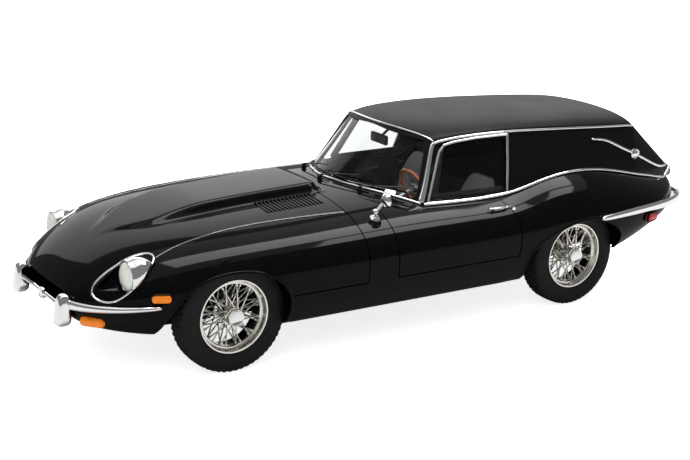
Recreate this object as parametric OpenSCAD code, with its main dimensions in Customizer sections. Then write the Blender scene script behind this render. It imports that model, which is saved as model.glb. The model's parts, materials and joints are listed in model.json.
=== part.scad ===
// Long-bonnet two-door shooting brake, a shelf model at one eighteenth of full size.
// X runs forward, Y to the left and Z up from the ground under the middle of the length.

/* [Overall] */
// Length over the bumpers
overall_length = 247; // [240:0.5:254]
// Width over the rear haunches
body_width = 92.4; // [90:0.2:95]
// Height of the haunch crown, which the body sections follow
haunch_height = 52.2; // [51:0.1:53.5]
// Height of the roof crown
roof_height = 66.6; // [65:0.1:69]
// Distance between the axles, as a share of the length
wheelbase_share = 0.5482; // [0.535:0.001:0.56]
// Front axle ahead of the middle, as a share of half the length
front_axle_share = 0.6073; // [0.59:0.001:0.625]

/* [Wheels] */
// Outside diameter of a tyre
tyre_d = 36; // [34.5:0.1:36.6]
// Width of a tyre
tyre_w = 9; // [8:0.1:9.4]
// Diameter of the rim where the tyre seats
rim_d = 22.8; // [21.5:0.1:24]
// Depth of the rim
rim_w = 7.4; // [6.5:0.1:8]
// Thickness of the rim at its seat
rim_wall = 1.1; // [0.8:0.1:1.6]
// Distance from the haunch side in to the middle plane of a wheel
wheel_inset = 10.9; // [10.4:0.1:11.6]
// Diameter of a wire spoke
spoke_d = 0.55; // [0.4:0.05:0.7]
// Crossed pairs of spokes in each of the two rows
spoke_pairs = 12; // [8:1:16]
// Diameter of the hub shell
hub_d = 5.6; // [5:0.1:6.4]
// Diameter of the spinner cap
spinner_d = 5.6; // [4.6:0.1:6]
// Diameter of an axle rod
axle_d = 3; // [2.4:0.1:3.4]
// Gap between the axle and the hub bore, all round
axle_clearance = 0.05; // [0.03:0.01:0.08]

/* [Shell] */
// Wall of the body round the cabin
body_wall = 2.2; // [1.8:0.1:2.8]
// Wall of the roof casting
roof_wall = 1.3; // [1:0.1:1.8]
// Width of an engraved panel gap
panel_gap = 0.5; // [0.3:0.05:0.7]
// Depth of an engraved panel gap
panel_depth = 0.5; // [0.3:0.05:0.8]
// Height of the bulge along the bonnet
bulge_height = 3; // [2.4:0.1:3.4]
// Louvre slots in each bonnet panel
louvre_count = 12; // [6:1:14]
// Thickness of the glass
glass_t = 0.6; // [0.4:0.05:0.8]
// Gap between a pane and the opening round it
glass_gap = 0.2; // [0.1:0.05:0.3]

/* [Underside] */
// Height of the base plate above the ground
plate_z = 12.8; // [12:0.1:13.2]
// Thickness of the base plate
plate_t = 1.8; // [1.5:0.1:2.2]
// Radius of the pilot hole for a plinth screw
pilot_r = 1.25; // [1.1:0.05:1.5]
// Depth of the pilot hole
pilot_depth = 7; // [5:0.5:8]
// Distance between the two plinth screws, as a share of the wheelbase
pilot_spread_share = 0.783; // [0.768:0.005:0.8]

/* [Brightwork] */
// Width of the thin bright beads
bead_w = 1; // [0.8:0.1:1.3]
// Height of the front bumper blades
bumper_h = 3.4; // [2.6:0.1:3.8]
// Height of the rear bumper blades at the tail
rear_bumper_h = 5.4; // [4.4:0.1:5.8]
// Thickness of the bumper blades
bumper_t = 1.7; // [1.3:0.1:2]
// Diameter of a headlamp bezel
headlamp_d = 10.4; // [9.6:0.1:11]
// Diameter of the steering wheel
steering_d = 13; // [12:0.5:15]

/* [Hidden] */

half_length = overall_length / 2;
half_width = body_width / 2;
wheelbase = wheelbase_share * overall_length;
front_axle_x = front_axle_share * half_length;
axle_z = tyre_d / 2;
rear_axle_x = front_axle_x - wheelbase;
wheel_y = half_width - wheel_inset;
overrun = 1;
seat_gap = 0.12;
sides = [1, -1];

// Body sections from nose to tail. Columns: place along the half length, half width at the waist,
// heights of the waist, the top and the bottom, half width of the floor, then the two exponents
// of the section above and below the waist.
body_shares = [
    [0.968, 0.303, 0.444, 0.483, 0.398, 0.271, 2.30, 2.3],
    [0.960, 0.411, 0.443, 0.517, 0.349, 0.346, 2.30, 2.3],
    [0.934, 0.537, 0.444, 0.590, 0.318, 0.455, 2.40, 2.3],
    [0.887, 0.680, 0.456, 0.670, 0.299, 0.584, 2.50, 2.3],
    [0.810, 0.831, 0.479, 0.755, 0.287, 0.736, 2.70, 2.3],
    [0.713, 0.929, 0.498, 0.808, 0.276, 0.829, 2.85, 2.3],
    [0.583, 0.978, 0.513, 0.839, 0.268, 0.872, 2.95, 2.3],
    [0.421, 0.994, 0.525, 0.860, 0.268, 0.887, 2.85, 2.3],
    [0.227, 0.987, 0.533, 0.879, 0.268, 0.887, 2.65, 2.3],
    [0.032, 0.978, 0.536, 0.894, 0.268, 0.887, 2.55, 2.3],
    [-0.178, 0.978, 0.544, 0.878, 0.268, 0.887, 2.55, 2.3],
    [-0.291, 0.984, 0.550, 0.900, 0.270, 0.887, 2.55, 2.3],
    [-0.389, 0.996, 0.556, 0.978, 0.278, 0.887, 2.58, 2.3],
    [-0.534, 1.000, 0.563, 1.004, 0.318, 0.877, 2.60, 2.2],
    [-0.680, 0.965, 0.563, 0.956, 0.384, 0.823, 2.55, 2.1],
    [-0.810, 0.885, 0.575, 0.858, 0.470, 0.700, 2.55, 2.0],
    [-0.907, 0.738, 0.600, 0.800, 0.545, 0.560, 2.90, 2.0],
    [-0.958, 0.580, 0.606, 0.780, 0.572, 0.440, 3.40, 2.0],
    [-0.974, 0.440, 0.606, 0.725, 0.578, 0.340, 3.20, 2.0]];

// Greenhouse sections from the foot of the windscreen to the tail. Columns: place along the half
// length, half width at the waist and at the drip line, height of the drip line and of the crown
// as shares of the haunch, exponent of the roof, and how far the middle runs ahead of the edges.
cabin_shares = [
    [0.042, 0.715, 0.715, 0.776, 0.820, 2.3, 0.140],
    [0.024, 0.718, 0.708, 0.816, 0.868, 2.3, 0.134],
    [-0.012, 0.724, 0.632, 0.985, 1.042, 2.3, 0.094],
    [-0.043, 0.728, 0.552, 1.158, 1.220, 2.3, 0.050],
    [-0.053, 0.730, 0.552, 1.172, 1.236, 2.3, 0.046],
    [-0.095, 0.733, 0.570, 1.190, 1.258, 2.2, 0.034],
    [-0.168, 0.738, 0.584, 1.202, 1.272, 2.2, 0.016],
    [-0.292, 0.744, 0.594, 1.203, 1.278, 2.2, 0.000],
    [-0.405, 0.756, 0.602, 1.191, 1.270, 2.2, 0.000],
    [-0.520, 0.762, 0.607, 1.178, 1.258, 2.2, 0.000],
    [-0.650, 0.756, 0.607, 1.160, 1.240, 2.2, -0.012],
    [-0.738, 0.733, 0.599, 1.150, 1.218, 2.2, -0.026],
    [-0.758, 0.726, 0.596, 1.148, 1.204, 2.2, -0.028],
    [-0.770, 0.720, 0.594, 1.128, 1.180, 2.2, -0.030],
    [-0.862, 0.668, 0.586, 0.945, 0.985, 2.2, -0.030],
    [-0.935, 0.598, 0.574, 0.812, 0.838, 2.2, -0.030],
    [-0.955, 0.566, 0.560, 0.766, 0.782, 2.2, -0.030]];

// Height where the greenhouse sides start, and the foot of its loft inside the body
waist_share = 0.824;
cabin_foot_share = 0.74;
waist_z = waist_share * haunch_height;
cabin_foot_z = cabin_foot_share * haunch_height;
// Outward bow of the greenhouse sides
side_bow = 0.9;

body_rows = [for (s = body_shares) [s[0] * half_length, s[1] * half_width, s[2] * haunch_height,
    s[3] * haunch_height, s[4] * haunch_height, s[5] * half_width, s[6], s[7]]];

// A share of the haunch height up to the waist stays as it is, and above it follows the roof height
crown_share = 1.278;
function cabin_z(share) = waist_z + (share * haunch_height - waist_z)
    * (roof_height - waist_z) / (crown_share * haunch_height - waist_z);
cabin_rows = [for (s = cabin_shares) [s[0] * half_length, s[1] * half_width, s[2] * half_width,
    cabin_z(s[3]), cabin_z(s[4]), s[5], s[6] * half_length]];

// Uniform cubic spline through a table of control rows, with both ends held
function basis(t) = [pow(1 - t, 3) / 6, (3 * pow(t, 3) - 6 * pow(t, 2) + 4) / 6,
    (1 + 3 * t + 3 * pow(t, 2) - 3 * pow(t, 3)) / 6, pow(t, 3) / 6];
function held(rows) = let (last = rows[len(rows) - 1]) [rows[0], rows[0], each rows, last, last];
function spline(rows, u) = let (p = held(rows), spans = len(p) - 3, i = min(floor(u * spans), spans - 1),
    b = basis(u * spans - i)) b[0] * p[i] + b[1] * p[i + 1] + b[2] * p[i + 2] + b[3] * p[i + 3];
function place(rows, x, low = 0, high = 1, steps = 22) = steps == 0 ? (low + high) / 2
    : let (mid = (low + high) / 2) spline(rows, mid)[0] > x ? place(rows, x, mid, high, steps - 1)
    : place(rows, x, low, mid, steps - 1);
function body_at(x) = spline(body_rows, place(body_rows, x));
function cabin_at(x) = spline(cabin_rows, place(cabin_rows, x));
function smooth(a, b, x) = let (t = max(0, min(1, (x - a) / (b - a)))) t * t * (3 - 2 * t);
function unit(v) = v / norm(v);
function mix(a, b, t) = a + (b - a) * t;
function spread(a, b, n) = [for (i = [0:n]) mix(a, b, i / n)];

// Bulge along the bonnet: it rises from the nose and widens towards the windscreen
bulge_shares = [0.858, 0.324, 0.247, 0.236];
bulge_width_shares = [0.065, 0.277];
bulge_edge_share = 0.032;
function bulge(x, y) = let (s = bulge_shares * half_length,
    half = (bulge_width_shares[0] + (bulge_width_shares[1] - bulge_width_shares[0])
        * smooth(s[0], s[1], x)) * half_width, edge = bulge_edge_share * half_width)
    bulge_height * smooth(s[0], s[1], x) * smooth(s[3], s[2], x)
        * (1 - smooth(half - edge, half + edge, abs(y)));

// Body surface: height over a place, half width at a height, and the ring of one section
function body_z(x, y) = let (r = body_at(x)) r[2] + (r[3] - r[2])
    * pow(max(0, 1 - pow(min(1, abs(y) / r[1]), r[6])), 1 / r[6]) + bulge(x, y);
function body_y(x, z) = let (r = body_at(x)) z >= r[2]
    ? r[1] * pow(max(0, 1 - pow(min(1, (z - r[2]) / (r[3] - r[2])), r[6])), 1 / r[6])
    : r[5] + (r[1] - r[5]) * pow(max(0, 1 - pow(min(1, (r[2] - z) / (r[2] - r[4])), r[7])), 1 / r[7]);
function body_normal(x, y) = let (e = overrun / 4) unit([(body_z(x - e, y) - body_z(x + e, y)) / (2 * e),
    (body_z(x, y - e) - body_z(x, y + e)) / (2 * e), 1]);
function body_ring(r, inset, over, under) = let (w = r[1] - inset, f = r[5] - inset,
    h = max(r[3] - r[2] - inset, overrun / 10))
    concat([for (i = [0:under - 1]) let (a = 90 * (1 - i / under))
            [r[0], f + (w - f) * pow(cos(a), 2 / r[7]), r[2] - (r[2] - r[4]) * pow(sin(a), 2 / r[7])]],
        [for (i = [0:over]) let (a = 180 * i / over, c = cos(a), s = sin(a),
            q = pow(pow(abs(c) / w, r[6]) + pow(s / h, r[6]), -1 / r[6]))
            [r[0], q * c, r[2] + q * s + (inset > 0 ? 0 : bulge(r[0], q * c))]],
        [for (i = [under - 1:-1:0]) let (a = 90 * (1 - i / under))
            [r[0], -f - (w - f) * pow(cos(a), 2 / r[7]), r[2] - (r[2] - r[4]) * pow(sin(a), 2 / r[7])]]);

// Greenhouse surface: half width of a side at a height, a point of the roof at an angle, one ring
function cabin_y(r, z) = let (s = min(1, (z - waist_z) / max(r[3] - waist_z, overrun)))
    z <= waist_z ? r[1] : r[1] + (r[2] - r[1]) * s + 2 * side_bow * s * (1 - s);
function roof_point(r, a, inset) = let (w = r[2] - inset, c = cos(a), y = sign(c) * pow(abs(c), 2 / r[5]))
    [r[0] + r[6] * (1 - y * y), w * y, r[3] - inset + (r[4] - r[3]) * pow(sin(a), 2 / r[5])];
function side_points(r, inset, up, side) = [for (i = [0:up]) let (z = cabin_foot_z
    + max(r[3] - inset - cabin_foot_z, overrun / 10) * i / (up + 1))
    [r[0], side * (cabin_y(r, z) - inset), z]];
function cabin_ring(r, inset, over, up) = let (left = side_points(r, inset, up, 1),
    right = side_points(r, inset, up, -1))
    concat(left, [for (i = [0:over]) roof_point(r, 180 * i / over, inset)], [for (i = [up:-1:0]) right[i]]);

// Skin over rings of equal counts, ordered from tail to nose, with fans over the two ends
function middle(ring) = [for (k = [0:2]) let (m = [for (p = ring) p[k]]) (min(m) + max(m)) / 2];
module skin(rings) {
    n = len(rings[0]);
    m = len(rings);
    points = concat([for (ring = rings) each ring], [middle(rings[0]), middle(rings[m - 1])]);
    walls = [for (i = [0:m - 2]) for (k = [0:n - 1]) let (j = (k + 1) % n)
        [i * n + k, (i + 1) * n + k, (i + 1) * n + j, i * n + j]];
    ends = [for (k = [0:n - 1]) let (j = (k + 1) % n) each [[m * n, k, j],
        [m * n + 1, (m - 1) * n + j, (m - 1) * n + k]]];
    polyhedron(points, concat(walls, ends), convexity = 8);
}

// Tube along a path, or round a closed one. Half widths run across and along the lift direction.
function along(p, closed) = let (n = len(p)) [for (i = [0:n - 1])
    unit(p[closed ? (i + 1) % n : min(i + 1, n - 1)] - p[closed ? (i + n - 1) % n : max(i - 1, 0)])];
function tube_rings(p, lift, across, high, count, closed) = let (t = along(p, closed))
    [for (i = [0:len(p) - 1])
        let (u = is_list(lift[0]) ? lift[i] : lift, s = unit(cross(u, t[i])), v = cross(t[i], s),
            b = is_list(high) ? high[i] : high)
        [for (k = [0:count - 1]) let (a = 360 * (k + 1 / 2) / count)
            p[i] + across * cos(a) * s + b * sin(a) * v]];
module tube(p, lift, across, high, count = 6, closed = false) {
    rings = tube_rings(p, lift, across, high, count, closed);
    m = len(rings);
    walls = [for (i = [0:m - 1]) for (k = [0:count - 1]) let (j = (k + 1) % count, q = (i + 1) % m)
        [i * count + k, q * count + k, q * count + j, i * count + j]];
    if (closed) polyhedron([for (ring = rings) each ring], walls);
    else skin(rings);
}

// Curved plate between two grids of points, the first outside the second
module plate(top, low) {
    m = len(top);
    n = len(top[0]);
    s = m * n;
    rim = concat([for (j = [0:n - 1]) j], [for (i = [1:m - 1]) i * n + n - 1],
        [for (j = [n - 2:-1:0]) (m - 1) * n + j], [for (i = [m - 2:-1:1]) i * n]);
    faces = [for (i = [0:m - 2]) for (j = [0:n - 2]) let (a = i * n + j)
        each [[a, a + 1, a + n + 1, a + n], [s + a, s + a + n, s + a + n + 1, s + a + 1]]];
    walls = [for (k = [0:len(rim) - 1]) let (a = rim[k], b = rim[(k + 1) % len(rim)]) [b, a, s + a, s + b]];
    polyhedron(concat([for (row = top) each row], [for (row = low) each row]), concat(faces, walls));
}

module rod(a, b, d, count = 16) {
    v = b - a;
    translate(a) rotate([0, acos(v[2] / norm(v)), atan2(v[1], v[0])])
        cylinder(h = norm(v), d = d, $fn = count);
}

module both() {
    for (side = sides) scale([1, side, 1]) children();
}

// Lofts of the whole body and of the greenhouse
body_stations = 40;
body_over = 24;
body_under = 4;
cabin_stations = 32;
cabin_over = 16;
cabin_up = 3;
module body_loft(inset, coarse = 1) {
    n = body_stations / coarse;
    skin([for (i = [n:-1:0])
        body_ring(spline(body_rows, i / n), inset, body_over / coarse, body_under / coarse)]);
}
module cabin_loft(inset, coarse = 1) {
    n = cabin_stations / coarse;
    skin([for (i = [n:-1:0]) cabin_ring(spline(cabin_rows, i / n), inset, cabin_over / coarse, cabin_up)]);
}

// Places along the body, as shares of the half length
bonnet_rear_share = 0.250;
door_front_share = 0.157;
door_rear_share = -0.235;
bulkhead_share = 0.125;
seatback_share = -0.300;
deck_rear_share = -0.905;
// Heights as shares of the haunch
door_foot_share = 0.458;
deck_share = 0.737;

well_clearance = 0.8;
well_inner_y = wheel_y - tyre_w / 2 - 4 * well_clearance;
well_outer_y = wheel_y + tyre_w / 2 + well_clearance;

// Wheel openings in the skin, as shares of the tyre radius ahead of and above the axle
front_arch_shares = [[1.75, -0.75], [1.36, -0.10], [1.10, 0.42], [0.74, 0.76], [0.05, 0.90], [-0.62, 0.76],
    [-0.98, 0.32], [-0.88, -0.20], [-0.70, -0.75]];
rear_arch_shares = [[1.40, -0.75], [1.54, -0.10], [1.46, 0.40], [0.95, 0.64], [0.22, 0.88], [-0.42, 0.80],
    [-1.00, 0.48], [-0.92, 0.10], [-0.60, -0.75]];
arch_steps = 20;
module arch(shares) {
    rotate([90, 0, 0]) linear_extrude(height = 2 * body_width, center = true)
        polygon([for (i = [0:arch_steps]) spline(shares, i / arch_steps) * tyre_d / 2]);
}

module wheel_wells() {
    for (x = [front_axle_x, rear_axle_x]) both()
        translate([x, well_inner_y, axle_z]) rotate([-90, 0, 0])
            cylinder(h = well_outer_y - well_inner_y, r = tyre_d / 2 + well_clearance, $fn = 40);
    difference() {
        union() {
            translate([front_axle_x, 0, axle_z]) arch(front_arch_shares);
            translate([rear_axle_x, 0, axle_z]) arch(rear_arch_shares);
        }
        cube([2 * overall_length, 2 * (well_inner_y + overrun), 2 * roof_height], center = true);
    }
}

// Hollow of the cabin: deep in front of the seat backs, shallow above the rear wheels
module cabin_hollow() {
    intersection() {
        body_loft(body_wall, 2);
        union() {
            translate([seatback_share * half_length, -half_width, tub_z()])
                cube([(bulkhead_share - seatback_share) * half_length, body_width, roof_height]);
            translate([deck_rear_share * half_length, -half_width, deck_share * haunch_height])
                cube([(seatback_share - deck_rear_share) * half_length + overrun, body_width, roof_height]);
        }
    }
}

// Mouth between the overriders
mouth_half_share = 0.335;
mouth_z_share = 0.428;
mouth_h = 6.3;
mouth_depth = 9;
module mouth() {
    y = mouth_half_share * half_width - mouth_h / 2;
    hull() both() translate([nose_x() - mouth_depth, y, mouth_z_share * haunch_height])
        rotate([0, 90, 0]) cylinder(h = 2 * mouth_depth, d = mouth_h, $fn = 32);
}
function nose_x() = body_rows[0][0];

// Headlamps stand in open wells: lamp centre, the front tip of the well, and the rear end of the bucket
headlamp_shares = [0.847, 0.632, 0.618];
well_tip_shares = [0.903, 0.545, 0.548];
bucket_shares = [0.797, 0.668, 0.676];
function spot(shares) = [shares[0] * half_length, shares[1] * half_width, shares[2] * haunch_height];
headlamp_at = spot(headlamp_shares);
well_tip_at = spot(well_tip_shares);
bucket_at = spot(bucket_shares);
well_rim = 0.4;
well_tip_d = 2.6;
bucket_tip_d = 2.4;
module headlamp_well() {
    hull() {
        translate(headlamp_at) sphere(d = headlamp_d + 2 * well_rim, $fn = 20);
        translate(well_tip_at) sphere(d = well_tip_d, $fn = 12);
        translate(headlamp_at + [headlamp_d / 2, headlamp_d / 4, headlamp_d / 2])
            sphere(d = headlamp_d, $fn = 16);
        translate(bucket_at) sphere(d = bucket_tip_d + 2 * well_rim, $fn = 12);
    }
}

// Engraved gaps: doors, rear edge and lower edge of the bonnet, louvres beside the bulge
louvre_shares = [0.295, 0.441];
louvre_half_shares = [0.285, 0.505];
module gap_slabs() {
    door_w = (door_front_share - door_rear_share) * half_length;
    door_h = haunch_height;
    translate([door_rear_share * half_length, 0, door_foot_share * haunch_height]) rotate([90, 0, 0])
        linear_extrude(height = 2 * body_width, center = true) difference() {
            offset(delta = panel_gap / 2) square([door_w, door_h]);
            offset(delta = -panel_gap / 2) square([door_w, door_h]);
        }
    translate([bonnet_rear_share * half_length - panel_gap / 2, -body_width, door_foot_share * haunch_height])
        cube([panel_gap, 2 * body_width, roof_height]);
    translate([bonnet_rear_share * half_length, -body_width, door_foot_share * haunch_height - panel_gap / 2])
        cube([front_axle_x - bonnet_rear_share * half_length, 2 * body_width, panel_gap]);
    louvre_step = (louvre_shares[1] - louvre_shares[0]) * half_length / (louvre_count - 1);
    for (i = [0:louvre_count - 1]) both() hull() for (share = louvre_half_shares)
        translate([louvre_shares[0] * half_length + i * louvre_step, share * half_width, axle_z])
            cylinder(h = roof_height, d = panel_gap, $fn = 6);
}
module panel_gaps() {
    difference() {
        gap_slabs();
        body_loft(panel_depth);
        translate([0, 0, door_foot_share * haunch_height - roof_height]) cube(body_width, center = true);
    }
}

module body_shell() {
    color([0.02, 0.02, 0.025]) difference() {
        body_loft(0);
        cabin_hollow();
        cabin_loft(roof_wall, 2);
        wheel_wells();
        mouth();
        both() headlamp_well();
        panel_gaps();
        plate_pocket(seat_gap);
        both() lamp_pockets();
    }
}

// Roof casting with the windscreen, the door windows and the rear window cut out
screen_corner_shares = [[0.635, 0.868], [0.495, 1.154], [0, 1.190]];
door_window_shares = [[-0.006, 0.864], [-0.064, 1.125], [-0.090, 1.150], [-0.274, 1.158], [-0.250, 0.856]];
rear_window_shares = [[0.385, 0.880], [0.365, 1.085]];
corner_d = 2.4;
module screen_cut() {
    hull() both() for (s = screen_corner_shares)
        translate([rear_of_header(), s[0] * half_width, cabin_z(s[1])]) rotate([0, 90, 0])
            cylinder(h = half_length, d = corner_d, $fn = 16);
}
header_rear_share = -0.075;
function rear_of_header() = header_rear_share * half_length;
module door_window_cut() {
    hull() for (s = door_window_shares)
        translate([s[0] * half_length, 0, cabin_z(s[1])]) rotate([90, 0, 0])
            cylinder(h = 2 * body_width, d = corner_d, center = true, $fn = 16);
}
module rear_window_cut() {
    hull() both() for (s = rear_window_shares)
        translate([-overall_length, s[0] * half_width, cabin_z(s[1])]) rotate([0, 90, 0])
            cylinder(h = overall_length + crease_x(), d = corner_d, $fn = 16);
}
crease_share = -0.765;
function crease_x() = crease_share * half_length;
tailgate_half_share = 0.520;
tailgate_foot_share = 0.835;
tailgate_step_count = 8;
module tailgate_gap() {
    difference() {
        for (side = sides) for (i = [0:tailgate_step_count / 2 - 1]) {
            low = cabin_z(tailgate_foot_share);
            rise = (roof_height - low) / (tailgate_step_count / 2);
            y = side * tailgate_half_share * half_width;
            hull() for (k = [i, i + 1]) translate([-overall_length, y, low + k * rise]) rotate([0, 90, 0])
                cylinder(h = overall_length + crease_x(), d = panel_gap, $fn = 12);
        }
        cabin_loft(panel_depth);
    }
}
module roof_shell() {
    color([0.035, 0.035, 0.04]) difference() {
        cabin_loft(0);
        cabin_loft(roof_wall, 2);
        body_loft(-seat_gap);
        screen_cut();
        door_window_cut();
        rear_window_cut();
        tailgate_gap();
    }
}

// Base plate with axle carriers and two screw bosses, seated in a pocket under the body
plate_top = plate_z + plate_t;
plate_front_share = 0.745;
plate_side_share = 0.840;
plate_spine_share = 0.500;
plate_rear_share = 0.85;
carrier_w = 9;
carrier_wall = 3;
carrier_z = axle_z + axle_d / 2 + carrier_wall;
boss_d = 8;
pilot_x = (front_axle_x + rear_axle_x) / 2;
pilot_spacing = pilot_spread_share * wheelbase;
module plate_outline(grow) {
    spine = plate_spine_share * half_width + grow;
    wide = plate_side_share * half_width + grow;
    mid_front = front_axle_x - tyre_d / 2 - 2 * overrun + grow;
    mid_rear = rear_axle_x + plate_rear_share * tyre_d - grow;
    front = plate_front_share * half_length + grow;
    rear = rear_axle_x - carrier_w / 2 - grow;
    left = [[front, spine], [mid_front, spine], [mid_front, wide], [mid_rear, wide], [mid_rear, spine],
        [rear, spine]];
    polygon(concat(left, [for (i = [len(left) - 1:-1:0]) [left[i][0], -left[i][1]]]));
}
module plate_blocks(grow) {
    spine = plate_spine_share * half_width + grow;
    for (x = [front_axle_x, rear_axle_x]) translate([x - carrier_w / 2 - grow, -spine, plate_z])
        cube([carrier_w + 2 * grow, 2 * spine, carrier_z - plate_z + grow]);
    for (end = sides) translate([pilot_x + end * pilot_spacing / 2, 0, plate_z])
        cylinder(h = pilot_depth + plate_t + grow, d = boss_d + 2 * grow, $fn = 48);
}
module plate_pocket(grow) {
    translate([0, 0, -overrun]) linear_extrude(height = plate_top + overrun) plate_outline(grow);
    plate_blocks(2 * grow);
    for (x = [front_axle_x, rear_axle_x]) translate([x - axle_d / 2 - 2 * grow, -well_inner_y - overrun, 0])
        cube([axle_d + 4 * grow, 2 * (well_inner_y + overrun), axle_z + axle_d / 2 + 2 * grow]);
}
rib_h = 0.7;
rib_shares = [-0.30, -0.15, 0.15, 0.30];
module base_plate() {
    color([0.09, 0.09, 0.1]) difference() {
        union() {
            translate([0, 0, plate_z]) linear_extrude(height = plate_t) plate_outline(0);
            plate_blocks(0);
            for (s = rib_shares) translate([pilot_x - wheelbase / 4, s * body_width - rib_h, plate_z - rib_h])
                cube([wheelbase / 2, 2 * rib_h, rib_h]);
        }
        for (x = [front_axle_x, rear_axle_x]) translate([x, 0, axle_z]) rotate([90, 0, 0])
            cylinder(h = 2 * body_width, d = axle_d, center = true, $fn = 32);
        for (end = sides) translate([pilot_x + end * pilot_spacing / 2, 0, plate_z - overrun])
            cylinder(h = pilot_depth + overrun, r = pilot_r, $fn = 32);
    }
}
exhaust_d = 3.2;
exhaust_bore_d = 2.4;
exhaust_bore_l = 6;
silencer_d = 5.2;
exhaust_y = 6;
exhaust_rear_share = -0.985;
exhaust_rise = 5.4;
module exhaust_pipes() {
    x = rear_axle_x - carrier_w / 2 - 3 * seat_gap;
    length = x - exhaust_rear_share * half_length;
    under = body_at(x - length / 4)[4] - silencer_d / 2 - 2 * tub_gap - exhaust_rise / 4;
    z = min(plate_z + exhaust_d / 2, under);
    color([0.75, 0.75, 0.77]) for (side = sides) translate([x, side * exhaust_y, z])
        rotate([0, -90 + atan(exhaust_rise / length), 0]) difference() {
            union() {
                cylinder(h = length, d = exhaust_d, $fn = 32);
                translate([0, 0, length / 4]) cylinder(h = length / 3, d = silencer_d, $fn = 32);
            }
            translate([0, 0, length - exhaust_bore_l])
                cylinder(h = exhaust_bore_l + overrun, d = exhaust_bore_d, $fn = 32);
        }
}

// Cabin fittings
floor_t = 2.6;
tub_t = 1.2;
tunnel_w = 13;
tunnel_h = 9;
tub_gap = 0.3;
function tub_y() = body_y((door_front_share + door_rear_share) / 2 * half_length, tub_z())
    - body_wall - 4 * tub_gap;
function tub_z() = plate_top + floor_t;
module interior_tub() {
    front = bulkhead_share * half_length - tub_gap;
    rear = seatback_share * half_length + tub_gap;
    wide = tub_y();
    deck_l = (seatback_share - deck_rear_share) * half_length * deck_mat_share;
    knob = [lever_x() - overrun, 0, tub_z() + 2 * tunnel_h];
    color([0.05, 0.05, 0.055]) {
        translate([rear, -wide, tub_z()]) cube([front - rear, 2 * wide, tub_t]);
        translate([rear, -tunnel_w / 2, tub_z() + tub_t]) cube([front - rear - 2 * tub_t, tunnel_w, tunnel_h]);
        translate([rear, -wide * bulkhead_narrow_share, tub_z() + tub_t])
            cube([tub_t, 2 * wide * bulkhead_narrow_share, deck_share * haunch_height - tub_z() - tub_t]);
        translate([rear - tub_gap - deck_l, -wide * deck_narrow_share, deck_share * haunch_height])
            cube([deck_l, 2 * wide * deck_narrow_share, tub_t]);
        rod([lever_x(), 0, tub_z() + tub_t + tunnel_h - overrun], knob, lever_d);
        translate(knob) sphere(d = 2 * lever_d, $fn = 24);
    }
}
bulkhead_narrow_share = 0.88;
deck_mat_share = 0.86;
deck_narrow_share = 0.66;
lever_d = 1;
function lever_x() = (door_front_share / 3) * half_length;

dash_t = 5;
dash_h = 12;
dash_y_share = 0.560;
gauge_d = 4.2;
gauge_step_share = 0.11;
gauge_depth = 0.5;
small_gauge_d = 3.4;
dash_shares = [[0, 0.15], [1, 0], [1, 1], [0.3, 1], [0, 0.85]];
dash_top_share = 0.796;
function dash_top() = dash_top_share * haunch_height;
function dash_x() = bulkhead_share * half_length - dash_t - tub_gap;
module dashboard() {
    x = dash_x();
    y = dash_y_share * half_width;
    color([0.03, 0.03, 0.035]) difference() {
        translate([x, y, dash_top() - dash_h]) rotate([90, 0, 0]) linear_extrude(height = 2 * y)
            polygon([for (s = dash_shares) [s[0] * dash_t, s[1] * dash_h]]);
        for (i = [-4:4]) translate([x - overrun, i * gauge_step_share * half_width, dash_top() - dash_h / 2])
            rotate([0, 90, 0])
                cylinder(h = overrun + gauge_depth, d = abs(i) % 2 == 1 ? gauge_d : small_gauge_d, $fn = 24);
    }
}

steering_rake = 24;
steering_rim_d = 1.1;
steering_hub_d = 3.6;
column_d = 1.6;
steering_spokes = 3;
steering_shares = [-0.045, 0.368, 0.849];
function steering_at() = spot(steering_shares);
module steering_wheel() {
    column = dash_x() - tub_gap - steering_at()[0] - column_d / 2 * sin(steering_rake);
    color([0.45, 0.2, 0.07]) translate(steering_at()) rotate([0, 90 + steering_rake, 0]) {
        rotate_extrude($fn = 48) translate([steering_d / 2 - steering_rim_d / 2, 0])
            circle(d = steering_rim_d, $fn = 16);
        for (i = [0:steering_spokes - 1]) rotate([0, 0, i * 360 / steering_spokes])
            translate([0, -steering_rim_d / 2, -steering_rim_d / 4])
                cube([steering_d / 2 - steering_rim_d / 2, steering_rim_d, steering_rim_d / 2]);
        translate([0, 0, -steering_rim_d / 2]) cylinder(h = steering_rim_d, d = steering_hub_d, $fn = 32);
        cylinder(h = column / cos(steering_rake), d = column_d, $fn = 24);
    }
}

seat_w = 17;
seat_l = 19;
seat_t = 4.6;
seat_back_h = 27.5;
seat_rake = 17;
seat_round = 1.6;
seat_y_share = 0.385;
seat_x_share = -0.145;
module seat(side) {
    z = tub_z() + tub_t + seat_gap;
    y = side * seat_y_share * half_width;
    color([0.55, 0.55, 0.56]) translate([seat_x_share * half_length, y, z]) {
        hull() for (sx = [0, 1]) for (sy = sides)
            translate([(1 - 2 * sx) * (seat_l / 2 - seat_round), sy * (seat_w / 2 - seat_round), 0])
                cylinder(h = seat_t + (1 - sx) * seat_round, r = seat_round, $fn = 16);
        translate([-seat_l / 2 + seat_t / 2, 0, seat_t / 2]) rotate([0, -seat_rake, 0])
            hull() for (sy = sides) for (top = [0, 1])
                translate([0, sy * (seat_w / 2 - seat_t / 2 - top * seat_round), top * (seat_back_h - seat_t)])
                    sphere(d = seat_t, $fn = 14);
    }
}

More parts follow.
